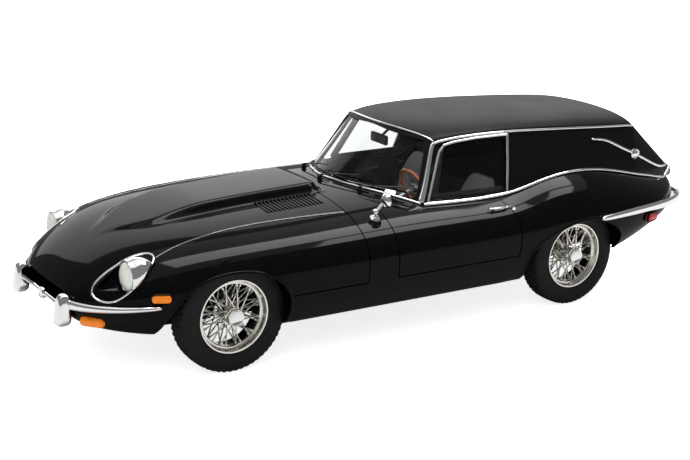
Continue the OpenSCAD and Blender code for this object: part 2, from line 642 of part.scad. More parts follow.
// Glass
pane_steps = 6;
pane_rows = 3;
pane_inset = roof_wall + 2 * glass_gap;
function pane_grid(span, edge, inset) = [for (x = spread(span[0], span[1], pane_rows) * half_length)
    let (r = cabin_at(x)) [for (a = spread(edge, 180 - edge, pane_steps)) roof_point(r, a, inset)]];
screen_pane_shares = [-0.040, 0.014];
screen_edge = 22;
module windscreen() {
    color([0.8, 0.85, 0.85, 0.35]) plate(pane_grid(screen_pane_shares, screen_edge, pane_inset),
        pane_grid(screen_pane_shares, screen_edge, pane_inset + glass_t));
}
rear_pane_shares = [-0.922, -0.785];
rear_edge = 44;
module rear_window() {
    color([0.5, 0.55, 0.55, 0.35]) plate(pane_grid(rear_pane_shares, rear_edge, pane_inset),
        pane_grid(rear_pane_shares, rear_edge, pane_inset + glass_t));
}
door_pane_shares = [[0.000, -0.076], [-0.252, -0.278]];
door_pane_z_shares = [0.842, 1.164];
function door_pane(side, inset) = [for (s = spread(0, 1, pane_rows)) [for (t = spread(0, 1, pane_steps))
    let (ends = mix(door_pane_shares[0], door_pane_shares[1], t), x = mix(ends[0], ends[1], s) * half_length,
        z = cabin_z(mix(door_pane_z_shares[0], door_pane_z_shares[1], s)))
    [x, side * (cabin_y(cabin_at(x), z) - inset), z]]];
module door_window(side) {
    near = door_pane(side, pane_inset);
    far = door_pane(side, pane_inset + glass_t);
    color([0.8, 0.85, 0.85, 0.35]) plate(side > 0 ? near : far, side > 0 ? far : near);
}

// Bright beads that follow the surfaces
bead_steps = 14;
bead_lift = bead_w / 2 + seat_gap;
foot_row_share = 0.024;
pillar_span_shares = [0.020, -0.047];
header_share = -0.050;
header_edge = 8;
foot_edge = 12;
module windscreen_frame() {
    pillar = [for (x = spread(pillar_span_shares[0], pillar_span_shares[1], bead_steps / 2))
        roof_point(cabin_at(x * half_length), 0, -bead_lift - seat_gap)];
    header = [for (a = spread(header_edge, 180 - header_edge, bead_steps))
        roof_point(cabin_at(header_share * half_length), a, -bead_lift)];
    foot = [for (a = spread(foot_edge, 180 - foot_edge, bead_steps))
        let (p = roof_point(cabin_at(foot_row_share * half_length), a, -bead_lift), x = p[0] + bead_lift)
        [x, p[1], body_z(x, p[1]) + bead_lift + seat_gap]];
    color("silver") {
        both() tube(pillar, [1, 1, 1], bead_w, bead_w / 2);
        tube(header, [1, 0, 1], bead_w / 2, bead_w / 2);
        tube(foot, [0, 0, 1], bead_w / 2, bead_w / 2);
    }
}
function on_side(x, z) = [x, cabin_y(cabin_at(x), z) + bead_lift, z];
// Door window surround: the upper run by shares, the lower run just above the waist line
window_top_shares = [[-0.030, 0.985], [-0.060, 1.118], [-0.078, 1.153], [-0.110, 1.166], [-0.180, 1.176],
    [-0.288, 1.174], [-0.272, 1.010]];
window_foot_shares = [-0.257, -0.170, -0.080, 0.003];
module window_frames() {
    top = [for (s = window_top_shares) on_side(s[0] * half_length, cabin_z(s[1]))];
    foot = [for (x = window_foot_shares * half_length)
        on_side(x, waist_at(x, cabin_foot_z, roof_height) + 2 * bead_w)];
    color("silver") both() tube(concat(top, foot), [0, 1, 0], bead_w / 2, bead_w / 2, closed = true);
}
drip_span_shares = [-0.058, -0.758];
module drip_trims() {
    path = [for (x = spread(drip_span_shares[0], drip_span_shares[1], bead_steps))
        let (r = cabin_at(x * half_length)) [r[0], r[2] + bead_lift, r[3]]];
    color("silver") both() tube(path, [0, 1, 0], bead_w / 2, bead_w / 2);
}
// The waist line runs where the greenhouse meets the body, and kicks up at the tail corner
function waist_at(x, low, high, steps = 16) = let (mid = (low + high) / 2) steps == 0 ? mid
    : body_z(x, cabin_y(cabin_at(x), mid)) > mid ? waist_at(x, mid, high, steps - 1)
    : waist_at(x, low, mid, steps - 1);
waist_span_shares = [0.016, -0.874];
kick_shares = [[-0.906, 0.740], [-0.932, 0.784]];
module waist_trims() {
    line = [for (x = spread(waist_span_shares[0], waist_span_shares[1], bead_steps) * half_length)
        on_side(x, waist_at(x, cabin_foot_z - 2 * bead_w, roof_height)) + [0, 0, bead_lift]];
    kick = [for (s = kick_shares) on_side(s[0] * half_length, s[1] * haunch_height) + [0, 0, bead_lift]];
    color("silver") both() tube(concat(line, kick), [0, 1, 1], bead_w / 2, bead_w / 2);
}
bead_path_shares = [[0.780, 0.650], [0.680, 0.618], [0.510, 0.612], [0.370, 0.640], [0.255, 0.665]];
module wing_beads() {
    path = [for (i = [0:bead_steps]) let (s = spline(bead_path_shares, i / bead_steps), x = s[0] * half_length,
        y = s[1] * half_width) [x, y, body_z(x, y) + bead_lift]];
    color("silver") both() tube(path, [0, 0, 1], bead_w / 2, bead_w / 2);
}
landau_shares = [[-0.590, 1.093], [-0.643, 1.082], [-0.693, 1.018], [-0.744, 0.969], [-0.811, 0.893],
    [-0.866, 0.834], [-0.900, 0.836]];
landau_boss_d = 4;
module landau_bars() {
    path = [for (i = [0:bead_steps]) let (s = spline(landau_shares, i / bead_steps))
        on_side(s[0] * half_length, cabin_z(s[1]))];
    boss = path[bead_steps / 2];
    color("silver") both() {
        tube(path, [0, 1, 0], bead_w / 2, bead_w / 2);
        translate(boss) rotate([-90, 0, 0]) cylinder(h = bead_w, d = landau_boss_d, $fn = 24);
    }
}

// Bumpers: blades that wrap the corners, with upright overriders
overrider_h = 10;
overrider_d = 4.2;
rear_overrider_h = 8.4;
rear_overrider_d = 3.2;
front_blade_shares = [[0.960, 0.435], [0.936, 0.440], [0.880, 0.452], [0.800, 0.475]];
rear_blade_shares = [[-0.530, 0.628], [-0.700, 0.638], [-0.860, 0.632], [-0.945, 0.620], [-0.968, 0.612],
    [-0.9735, 0.612]];
front_overrider_share = 0.377;
rear_overrider_share = 0.390;
overrider_z_share = 0.400;
bumper_steps = 16;
// Height left at the thin end of a blade
blade_tip_share = 0.28;
function blade_heights(high, steps) = [for (i = steps) high / 2 * mix(1, blade_tip_share, i / bumper_steps)];
function blade(shares) = [for (i = [0:bumper_steps]) let (s = spline(shares, i / bumper_steps),
    x = s[0] * half_length, z = s[1] * haunch_height, off = bumper_t / 2 + seat_gap, e = overrun / 2,
    slope = (body_y(x + e, z) - body_y(x - e, z)) / (2 * e), n = unit([-slope, 1, 0]))
    [x + off * n[0], body_y(x, z) + off * n[1], z]];
module overrider(at, h, d) {
    translate(at) {
        cylinder(h = h - d, d = d, center = true, $fn = 32);
        for (end = sides) translate([0, 0, end * (h - d) / 2]) sphere(d = d, $fn = 32);
    }
}
module front_bumpers() {
    post = [half_length - overrider_d / 2, front_overrider_share * half_width,
        overrider_z_share * haunch_height];
    color("silver") both() {
        tube(blade(front_blade_shares), [0, 0, 1], bumper_t / 2, blade_heights(bumper_h, [0:bumper_steps]), 8);
        overrider(post, overrider_h, overrider_d);
    }
}
bar_d = 1.6;
badge_d = 4.4;
module mouth_bar() {
    x = half_length - 3 / 4 * overrider_d;
    z = mouth_z_share * haunch_height;
    y = front_overrider_share * half_width - overrider_d / 2 - seat_gap;
    color("silver") {
        rod([x, -y, z], [x, y, z], bar_d);
        translate([x, 0, z]) rotate([0, 90, 0]) cylinder(h = bar_d, d = badge_d, $fn = 32);
    }
}
module rear_bumpers() {
    post = [-half_length + rear_overrider_d / 2, rear_overrider_share * half_width,
        rear_blade_shares[5][1] * haunch_height];
    path = concat(blade(rear_blade_shares), [post]);
    heights = [each blade_heights(rear_bumper_h, [bumper_steps:-1:0]), rear_bumper_h / 2];
    color("silver") both() {
        tube(path, [0, 0, 1], bumper_t / 2, heights, 8);
        overrider(post, rear_overrider_h, rear_overrider_d);
    }
}

// Lamps
lens_dome = 2;
lens_steps = 6;
bowl_depth = 3;
bowl_share = 0.6;
bezel_t = 0.8;
bucket_steps = 6;
bucket_sides = 24;
function bucket_ring(c, d) = [for (k = [0:bucket_sides - 1]) let (a = 360 * k / bucket_sides)
    c + d / 2 * [0, cos(a), sin(a)]];
module headlamps() {
    bore = headlamp_d - 2 * bezel_t;
    bowl = [[0, -bowl_depth], [bore * bowl_share / 2, -bowl_depth], [bore / 2, 0], [bore / 2, 2 * bezel_t],
        [0, 2 * bezel_t]];
    rings = [for (i = [bucket_steps:-1:0]) let (t = i / bucket_steps)
        bucket_ring(mix(headlamp_at, bucket_at, t), mix(headlamp_d, bucket_tip_d, t * t))];
    color("silver") both() difference() {
        skin(concat(rings, [bucket_ring(headlamp_at + [bezel_t, 0, 0], headlamp_d)]));
        translate(headlamp_at) rotate([0, 90, 0]) rotate_extrude($fn = bucket_sides) polygon(bowl);
    }
}
module headlamp_lenses() {
    lens_d = headlamp_d - 2 * bezel_t - 2 * seat_gap;
    ball = (lens_d * lens_d / 4 + lens_dome * lens_dome) / (2 * lens_dome);
    arc = [for (a = spread(asin(lens_d / 2 / ball), 0, lens_steps))
        [ball * sin(a), bezel_t + ball * cos(a) - (ball - lens_dome)]];
    color([0.9, 0.92, 0.92, 0.4]) both() translate(headlamp_at) rotate([0, 90, 0])
        rotate_extrude($fn = bucket_sides) polygon(concat([[0, 0]], arc));
}
// Ring round each lamp well: an oval, drawn out to the rear, laid on the body
ring_shares = [0.854, 0.613];
ring_long_shares = [-0.072, 0.069];
ring_wide_share = 0.120;
ring_low_share = 0.512;
ring_steps = 24;
function ring_spot(a) = let (x = (ring_shares[0] + ring_long_shares[0] * cos(a)) * half_length,
    y = (ring_shares[1] + ring_long_shares[1] * cos(a) + ring_wide_share * sin(a)) * half_width)
    [x, min(y, body_y(x, ring_low_share * haunch_height))];
module headlamp_rings() {
    spots = [for (i = [0:ring_steps - 1]) ring_spot(360 * i / ring_steps)];
    lifts = [for (s = spots) body_normal(s[0], s[1])];
    path = [for (i = [0:ring_steps - 1]) [spots[i][0], spots[i][1], body_z(spots[i][0], spots[i][1])]
        + bead_lift * lifts[i]];
    color("silver") both() tube(path, lifts, bead_w / 2, bead_w / 2, closed = true);
}
// Small lamps are blocks with rounded corners, let into pockets in the skin
signal_shares = [0.926, 0.353];
signal_size = [8, 3, 3];
marker_shares = [0.798, 0.524];
marker_size = [6, 3, 2.6];
tail_shares = [-0.755, 0.558];
tail_size = [6.4, 3, 2.8];
signal_turn = 50;
marker_turn = 24;
tail_turn = -17;
lamp_round = 0.6;
function lamp_spot(s) = let (x = s[0] * half_length, z = s[1] * haunch_height) [x, body_y(x, z), z];
module lamp_block(shares, size, turn, grow) {
    translate(lamp_spot(shares)) rotate([0, 0, -turn]) hull() for (sx = sides) for (sz = sides)
        translate([sx * (size[0] / 2 - lamp_round), 0, sz * (size[2] / 2 - lamp_round)]) rotate([90, 0, 0])
            cylinder(h = size[1] + 2 * grow, r = lamp_round + grow, center = true, $fn = 16);
}
module lamp_pockets() {
    lamp_block(signal_shares, signal_size, signal_turn, seat_gap);
    lamp_block(marker_shares, marker_size, marker_turn, seat_gap);
    lamp_block(tail_shares, tail_size, tail_turn, seat_gap);
}
module turn_signals() {
    color([0.9, 0.42, 0.05]) both() lamp_block(signal_shares, signal_size, signal_turn, 0);
}
module side_markers() {
    color([0.9, 0.42, 0.05]) both() lamp_block(marker_shares, marker_size, marker_turn, 0);
}
module tail_lamps() {
    color([0.6, 0.03, 0.03]) both() lamp_block(tail_shares, tail_size, tail_turn, 0);
}

// Mirrors, wipers, handles
mirror_shares = [0.188, 0.782];
mirror_stem_h = 5.7;
mirror_d = 5.4;
mirror_t = 2.4;
mirror_lean = 3.2;
module wing_mirror() {
    x = mirror_shares[0] * half_length;
    y = mirror_shares[1] * half_width;
    n = body_normal(x, y);
    foot = [x, y, body_z(x, y)] + 2 * seat_gap * n;
    top = foot + [-mirror_lean, 0, mirror_stem_h];
    color("silver") {
        rod(foot, foot + bead_w * n, 3 * bead_w);
        rod(foot + bead_w / 2 * n, top, bead_w);
        translate(top) scale([mirror_t / mirror_d, 1, 1]) sphere(d = mirror_d, $fn = 32);
    }
}
// Cabin mirror on a stalk from the roof behind the header
cabin_mirror_size = [1.2, 9.6, 3.4];
mirror_stalk_share = -0.112;
mirror_reach = 8;
mirror_drop = 6;
module cabin_mirror() {
    root = roof_point(cabin_at(mirror_stalk_share * half_length), 90, roof_wall)
        - [0, 0, bead_w / 2 + 2 * seat_gap];
    head = root + [mirror_reach, 0, -mirror_drop];
    color([0.03, 0.03, 0.03]) {
        translate(head) cube(cabin_mirror_size, center = true);
        rod(root, head, bead_w);
    }
}
wiper_y_shares = [0.390, 0.020, -0.350];
wiper_l = 17;
wiper_d = 0.7;
pivot_d = 1.7;
module wipers() {
    color([0.03, 0.03, 0.03]) for (share = wiper_y_shares) {
        y = share * half_width;
        x = screen_foot(y) + bead_w + 3 * wiper_d;
        foot = [x, y, body_z(x, y) + 2 * seat_gap];
        head = foot + [0, 0, bead_w + 2 * wiper_d];
        rod(foot, head, pivot_d);
        rod(head - [0, 0, wiper_d], screen_point(y + wiper_l * wiper_reach_share), wiper_d);
    }
}
wiper_reach_share = 0.75;
wiper_tip_share = 0.012;
function screen_foot(y) = let (r = cabin_at(foot_row_share * half_length))
    r[0] + r[6] * (1 - pow(y / r[2], 2));
function screen_point(y) = let (r = cabin_at(wiper_tip_share * half_length), q = y / r[2])
    [r[0] + r[6] * (1 - q * q), y, r[3] + (r[4] - r[3]) * pow(1 - pow(abs(q), r[5]), 1 / r[5]) + 3 * bead_w];
handle_shares = [-0.180, 0.788];
handle_l = 7;
handle_d = 1.3;
handle_post_d = 1;
module door_handles() {
    x = handle_shares[0] * half_length;
    z = handle_shares[1] * haunch_height;
    y = body_y(x, z - handle_d / 2) + handle_d / 2 + seat_gap;
    color("silver") both() {
        translate([x, y + handle_d / 2, z]) rotate([0, 90, 0])
            cylinder(h = handle_l, d = handle_d, center = true, $fn = 24);
        for (end = sides) translate([x + end * handle_l / 2, y + handle_d / 2, z])
            sphere(d = handle_d, $fn = 24);
        for (end = sides) translate([x + end * handle_l / 3, y - handle_d / 2, z]) rotate([-90, 0, 0])
            cylinder(h = handle_d, d = handle_post_d, $fn = 16);
    }
}

// Running gear
module axle(x) {
    color([0.6, 0.6, 0.62]) translate([x, 0, axle_z]) rotate([90, 0, 0])
        cylinder(h = 2 * (wheel_y + hub_reach()), d = axle_d, center = true, $fn = 32);
}
function hub_reach() = rim_w / 8;
module at_wheel(x, side) {
    translate([x, side * wheel_y, axle_z]) rotate([0, 0, side > 0 ? 0 : 180]) rotate([-90, 0, 0]) children();
}
tyre_steps = 24;
tyre_power = 3.2;
module tyre(x, side) {
    low = rim_d / 2;
    deep = (tyre_d - rim_d) / 2 + overrun / 2;
    color([0.04, 0.04, 0.04]) at_wheel(x, side) rotate_extrude($fn = 64)
        polygon([for (i = [0:tyre_steps - 1]) let (a = 360 * i / tyre_steps, c = cos(a), s = sin(a))
            [max(low, tyre_d / 2 - deep / 2 + deep / 2 * sign(s) * pow(abs(s), 2 / tyre_power)),
            tyre_w / 2 * sign(c) * pow(abs(c), 2 / tyre_power)]]);
}
hub_l = 8;
hub_floor = 1.2;
lip = 0.8;
module wheel(x, side) {
    seat = rim_d / 2;
    well = seat - rim_wall;
    face = rim_w / 2;
    flange = well - lip;
    section = [[well, -face], [seat, -face], [seat, face], [seat - lip, face], [well, face - lip],
        [flange, face - lip], [flange, face - 2 * lip], [well, face - 3 * lip]];
    color([0.8, 0.8, 0.82]) at_wheel(x, side) difference() {
        union() {
            rotate_extrude($fn = 64) polygon(section);
            translate([0, 0, -hub_l / 2])
                cylinder(h = hub_l, d1 = hub_d, d2 = hub_d * hub_taper_share, $fn = 40);
            translate([0, 0, -hub_l / 3]) cylinder(h = lip, d = hub_d + 2 * lip, $fn = 40);
            for (i = [0:spoke_pairs - 1]) for (lean = sides) {
                step = lean * spoke_d / 2;
                spoke(i, lean, hub_l / 3 - spoke_d / 2 - step, face - 3 * lip + spoke_d - step, well);
                spoke(i + 1 / 2, lean, -hub_l / 3 + lip / 2 + step, -face / 2 + step, well);
            }
        }
        translate([0, 0, -hub_l])
            cylinder(h = hub_l + hub_reach() + hub_floor, d = axle_d + 2 * axle_clearance, $fn = 40);
    }
}
// A wire from the hub to the rim, crossing the one that leans the other way
hub_taper_share = 0.8;
spoke_lean = 21;
module spoke(turn, lean, hub_z, rim_z, well) {
    a = 360 * turn / spoke_pairs - lean * spoke_lean;
    b = a + 2 * lean * spoke_lean;
    near = hub_d / 2 * hub_taper_share;
    far = well + rim_wall / 3;
    rod([near * cos(a), near * sin(a), hub_z], [far * cos(b), far * sin(b), rim_z], spoke_d, 8);
}
spinner_h = 1.4;
spinner_edge = 0.4;
module spinner(x, side) {
    color("silver") at_wheel(x, side) translate([0, 0, hub_l / 2]) {
        cylinder(h = spinner_h - spinner_edge, d = spinner_d, $fn = 40);
        translate([0, 0, spinner_h - spinner_edge])
            cylinder(h = spinner_edge, d1 = spinner_d, d2 = spinner_d - 2 * spinner_edge, $fn = 40);
    }
}

body_shell();
roof_shell();
base_plate();
interior_tub();
dashboard();
steering_wheel();
seat(1);  // seat_left
seat(-1);  // seat_right
windscreen();
door_window(1);  // window_left
door_window(-1);  // window_right
rear_window();
windscreen_frame();
window_frames();
drip_trims();
waist_trims();
wing_beads();
landau_bars();
front_bumpers();
mouth_bar();
rear_bumpers();
headlamps();
headlamp_lenses();
headlamp_rings();
turn_signals();
side_markers();
tail_lamps();
wing_mirror();
cabin_mirror();
wipers();
door_handles();
exhaust_pipes();
axle(front_axle_x);  // axle_front
axle(rear_axle_x);  // axle_rear
tyre(front_axle_x, 1);  // tyre_front_left
tyre(front_axle_x, -1);  // tyre_front_right
tyre(rear_axle_x, 1);  // tyre_rear_left
tyre(rear_axle_x, -1);  // tyre_rear_right
wheel(front_axle_x, 1);  // wheel_front_left
wheel(front_axle_x, -1);  // wheel_front_right
wheel(rear_axle_x, 1);  // wheel_rear_left
wheel(rear_axle_x, -1);  // wheel_rear_right
spinner(front_axle_x, 1);  // spinner_front_left
spinner(front_axle_x, -1);  // spinner_front_right
spinner(rear_axle_x, 1);  // spinner_rear_left
spinner(rear_axle_x, -1);  // spinner_rear_right
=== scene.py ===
"""Looks of a shelf-model shooting brake: paint, brightwork, glass, lamps, wire wheels, cabin and stage."""
import json
import math
import bpy
import numpy as np
from mathutils import Matrix, Vector
from mathutils.bvhtree import BVHTree
from mathutils.geometry import barycentric_transform


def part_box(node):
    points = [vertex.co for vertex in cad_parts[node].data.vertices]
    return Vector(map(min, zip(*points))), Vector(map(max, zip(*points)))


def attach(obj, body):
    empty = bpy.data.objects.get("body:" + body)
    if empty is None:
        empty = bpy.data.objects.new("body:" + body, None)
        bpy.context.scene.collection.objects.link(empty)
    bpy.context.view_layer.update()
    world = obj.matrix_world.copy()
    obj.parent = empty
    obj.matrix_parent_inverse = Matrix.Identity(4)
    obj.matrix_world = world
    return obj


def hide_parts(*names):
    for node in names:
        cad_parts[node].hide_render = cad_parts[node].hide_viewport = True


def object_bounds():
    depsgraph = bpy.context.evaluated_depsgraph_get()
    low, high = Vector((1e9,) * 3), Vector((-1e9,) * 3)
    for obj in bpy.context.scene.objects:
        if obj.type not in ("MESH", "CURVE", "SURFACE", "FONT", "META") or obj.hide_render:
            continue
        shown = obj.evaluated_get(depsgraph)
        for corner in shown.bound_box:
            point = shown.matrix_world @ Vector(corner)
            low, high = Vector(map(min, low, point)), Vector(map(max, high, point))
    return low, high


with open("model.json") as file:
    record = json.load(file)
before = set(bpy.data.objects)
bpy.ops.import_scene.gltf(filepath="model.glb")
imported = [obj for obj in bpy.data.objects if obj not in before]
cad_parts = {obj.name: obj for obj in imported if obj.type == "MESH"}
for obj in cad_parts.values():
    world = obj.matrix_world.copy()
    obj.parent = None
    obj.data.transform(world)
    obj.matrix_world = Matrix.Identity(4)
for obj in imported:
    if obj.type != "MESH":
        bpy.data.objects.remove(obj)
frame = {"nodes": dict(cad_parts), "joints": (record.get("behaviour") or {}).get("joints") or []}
CAD_LOW, CAD_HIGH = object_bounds()

bl_info = {
    "name": "Shooting brake shelf model",
    "version": (1, 0, 0),
    "blender": (4, 5, 0),
    "location": "View3D > Sidebar > Shooting brake",
    "description": "Paint, brightwork, glass, wheels and cabin of a shooting brake shelf model",
    "category": "Object",
}

MM = 0.001
TINY = 1e-6
SIDES = (1, -1)
ROOT = "root"
FINISH = "finish_"
# Step at which slopes of the skin are taken, and the least height of a section
PROBE, LEAST = MM / 4, MM / 10

# Driving sizes, in metres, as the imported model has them
HALF_LENGTH = CAD_HIGH.x
HALF_WIDTH = 46.2 * MM
HAUNCH = 52.2 * MM
ROOF_HEIGHT = 66.6 * MM
BODY_WALL = 2.2 * MM
ROOF_WALL = 1.3 * MM
SEAT_GAP = 0.12 * MM
WHEEL_AT = {j["child"]: Vector(j["pos_m"]) for j in frame["joints"]}
FRONT_AXLE = WHEEL_AT["road_wheel_front_left"]
REAR_AXLE = WHEEL_AT["road_wheel_rear_left"]
TYRE_R = FRONT_AXLE.z
TYRE_HALF = (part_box("tyre_front_left")[1].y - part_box("tyre_front_left")[0].y) / 2

# Body sections from nose to tail: place along the half length, half width at the waist, heights of
# the waist, top and bottom, half width of the floor, exponents above and below the waist
BODY_SHARES = (
    (0.968, 0.303, 0.444, 0.483, 0.398, 0.271, 2.30, 2.3),
    (0.960, 0.411, 0.443, 0.517, 0.349, 0.346, 2.30, 2.3),
    (0.934, 0.537, 0.444, 0.590, 0.318, 0.455, 2.40, 2.3),
    (0.887, 0.680, 0.456, 0.670, 0.299, 0.584, 2.50, 2.3),
    (0.810, 0.831, 0.479, 0.755, 0.287, 0.736, 2.70, 2.3),
    (0.713, 0.929, 0.498, 0.808, 0.276, 0.829, 2.85, 2.3),
    (0.583, 0.978, 0.513, 0.839, 0.268, 0.872, 2.95, 2.3),
    (0.421, 0.994, 0.525, 0.860, 0.268, 0.887, 2.85, 2.3),
    (0.227, 0.987, 0.533, 0.879, 0.268, 0.887, 2.65, 2.3),
    (0.032, 0.978, 0.536, 0.894, 0.268, 0.887, 2.55, 2.3),
    (-0.178, 0.978, 0.544, 0.878, 0.268, 0.887, 2.55, 2.3),
    (-0.291, 0.984, 0.550, 0.900, 0.270, 0.887, 2.55, 2.3),
    (-0.389, 0.996, 0.556, 0.978, 0.278, 0.887, 2.58, 2.3),
    (-0.534, 1.000, 0.563, 1.004, 0.318, 0.877, 2.60, 2.2),
    (-0.680, 0.965, 0.563, 0.956, 0.384, 0.823, 2.55, 2.1),
    (-0.810, 0.885, 0.575, 0.858, 0.470, 0.700, 2.55, 2.0),
    (-0.907, 0.738, 0.600, 0.800, 0.545, 0.560, 2.90, 2.0),
    (-0.958, 0.580, 0.606, 0.780, 0.572, 0.440, 3.40, 2.0),
    (-0.974, 0.440, 0.606, 0.725, 0.578, 0.340, 3.20, 2.0),
)
# Greenhouse sections from the windscreen's foot to the tail: place, half widths at the waist and
# the drip line, heights of the drip line and the crown, exponent of the roof, lead of the middle
CABIN_SHARES = (
    (0.042, 0.715, 0.715, 0.776, 0.820, 2.3, 0.140),
    (0.024, 0.718, 0.708, 0.816, 0.868, 2.3, 0.134),
    (-0.012, 0.724, 0.632, 0.985, 1.042, 2.3, 0.094),
    (-0.043, 0.728, 0.552, 1.158, 1.220, 2.3, 0.050),
    (-0.053, 0.730, 0.552, 1.172, 1.236, 2.3, 0.046),
    (-0.095, 0.733, 0.570, 1.190, 1.258, 2.2, 0.034),
    (-0.168, 0.738, 0.584, 1.202, 1.272, 2.2, 0.016),
    (-0.292, 0.744, 0.594, 1.203, 1.278, 2.2, 0.000),
    (-0.405, 0.756, 0.602, 1.191, 1.270, 2.2, 0.000),
    (-0.520, 0.762, 0.607, 1.178, 1.258, 2.2, 0.000),
    (-0.650, 0.756, 0.607, 1.160, 1.240, 2.2, -0.012),
    (-0.738, 0.733, 0.599, 1.150, 1.218, 2.2, -0.026),
    (-0.758, 0.726, 0.596, 1.148, 1.204, 2.2, -0.028),
    (-0.770, 0.720, 0.594, 1.128, 1.180, 2.2, -0.030),
    (-0.862, 0.668, 0.586, 0.945, 0.985, 2.2, -0.030),
    (-0.935, 0.598, 0.574, 0.812, 0.838, 2.2, -0.030),
    (-0.955, 0.566, 0.560, 0.766, 0.782, 2.2, -0.030),
)
WAIST_SHARE, FOOT_SHARE, CROWN_SHARE = 0.824, 0.740, 1.278
WAIST_Z = WAIST_SHARE * HAUNCH
FOOT_Z = FOOT_SHARE * HAUNCH
SIDE_BOW = 0.9 * MM
# The bonnet's bulge rises, spreads and ends between these places
BULGE_RISE_SHARES = (0.865, 0.560)
BULGE_SPREAD_SHARES = (0.850, 0.700)
BULGE_END_SHARES = (0.236, 0.247)
BULGE_WIDTH_SHARES = (0.065, 0.277)
BULGE_EDGE_SHARE = 0.04
BULGE_HEIGHT = 3.0 * MM


def cabin_z(share):
    """Height in the greenhouse for a share of the haunch height."""
    lift = (ROOF_HEIGHT - WAIST_Z) / (CROWN_SHARE * HAUNCH - WAIST_Z)
    return WAIST_Z + (np.asarray(share) * HAUNCH - WAIST_Z) * lift


def spline(rows, u):
    """Points of a uniform cubic spline with held ends, at places u from 0 to 1."""
    rows = np.asarray(rows, float)
    u = np.atleast_1d(np.asarray(u, float))
    held = np.vstack([rows[:1], rows[:1], rows, rows[-1:], rows[-1:]])
    spans = len(held) - 3
    i = np.minimum((u * spans).astype(int), spans - 1)
    t = (u * spans - i)[:, None]
    weights = ((1 - t) ** 3, 3 * t ** 3 - 6 * t ** 2 + 4,
               1 + 3 * t + 3 * t ** 2 - 3 * t ** 3, t ** 3)
    return sum(w / 6 * held[i + k] for k, w in enumerate(weights))


def shares_of(shares, size):
    """A span or a table of shares as real sizes."""
    return np.array(shares) * size


def even(shares, size, count):
    """Even places between two shares of a size."""
    return np.linspace(*shares_of(shares, size), count)


class Sections:
    """A table of sections that can be read at any place along the car."""

    def __init__(self, rows):
        self.rows = rows
        self.u = np.linspace(0, 1, 4001)
        self.x = spline(rows, self.u)[:, 0]

    def at(self, x):
        return spline(self.rows, np.interp(-np.atleast_1d(x), -self.x, self.u))


BODY = Sections(shares_of(BODY_SHARES, (HALF_LENGTH, HALF_WIDTH, HAUNCH, HAUNCH, HAUNCH, HALF_WIDTH, 1, 1)))
CABIN_TABLE = shares_of(CABIN_SHARES, (HALF_LENGTH, HALF_WIDTH, HALF_WIDTH, 1, 1, 1, HALF_LENGTH))
CABIN_TABLE[:, 3:5] = cabin_z(CABIN_TABLE[:, 3:5])
CABIN = Sections(CABIN_TABLE)


def smooth(a, b, x):
    """A soft step from 0 at a to 1 at b."""
    t = np.clip((np.asarray(x, float) - a) / (b - a), 0, 1)
    return t * t * (3 - 2 * t)


def unit(v):
    v = np.asarray(v, float)
    return v / np.linalg.norm(v, axis=-1, keepdims=True)


def bulge(x, y):
    """Height of the raised middle of the bonnet above the plain section."""
    rise, spread, end = (smooth(*shares_of(s, HALF_LENGTH), x)
                         for s in (BULGE_RISE_SHARES, BULGE_SPREAD_SHARES, BULGE_END_SHARES))
    narrow, wide = BULGE_WIDTH_SHARES
    half = (narrow + (wide - narrow) * spread) * HALF_WIDTH
    edge = BULGE_EDGE_SHARE * HALF_WIDTH
    return BULGE_HEIGHT * rise * end * (1 - smooth(half - edge, half + edge, np.abs(y)))


def body_z(x, y):
    """Height of the body skin over a place."""
    r = BODY.at(x).T
    inside = np.clip(1 - np.minimum(1, np.abs(y) / r[1]) ** r[6], 0, 1)
    return r[2] + (r[3] - r[2]) * inside ** (1 / r[6]) + bulge(x, y)


def body_y(x, z):
    """Half width of the body skin at a place and height."""
    r = BODY.at(x).T
    z = np.broadcast_to(z, r[0].shape)
    above = np.clip((z - r[2]) / (r[3] - r[2]), 0, 1)
    below = np.clip((r[2] - z) / (r[2] - r[4]), 0, 1)
    high = r[1] * (1 - above ** r[6]) ** (1 / r[6])
    low = r[5] + (r[1] - r[5]) * (1 - below ** r[7]) ** (1 / r[7])
    return np.where(z >= r[2], high, low)


def on_top(x, y, lift=0.0):
    """Points on the upper skin, lifted along the surface normal, and those normals."""
    x, y = np.broadcast_arrays(np.atleast_1d(x).astype(float), np.asarray(y, float))
    e = PROBE
    normal = unit(np.stack([(body_z(x - e, y) - body_z(x + e, y)) / (2 * e),
                            (body_z(x, y - e) - body_z(x, y + e)) / (2 * e), np.ones_like(x)], -1))
    return np.stack([x, y, body_z(x, y)], -1) + lift * normal, normal


def on_flank(x, z, side=1, lift=0.0):
    """Points on a flank of the body, lifted along the surface normal, and those normals."""
    x, z = np.broadcast_arrays(np.atleast_1d(x).astype(float), np.asarray(z, float))
    e = PROBE
    normal = unit(np.stack([(body_y(x - e, z) - body_y(x + e, z)) / (2 * e), np.ones_like(x),
                            (body_y(x, z - e) - body_y(x, z + e)) / (2 * e)], -1))
    flip = np.array((1, side, 1))
    return (np.stack([x, body_y(x, z), z], -1) + lift * normal) * flip, normal * flip


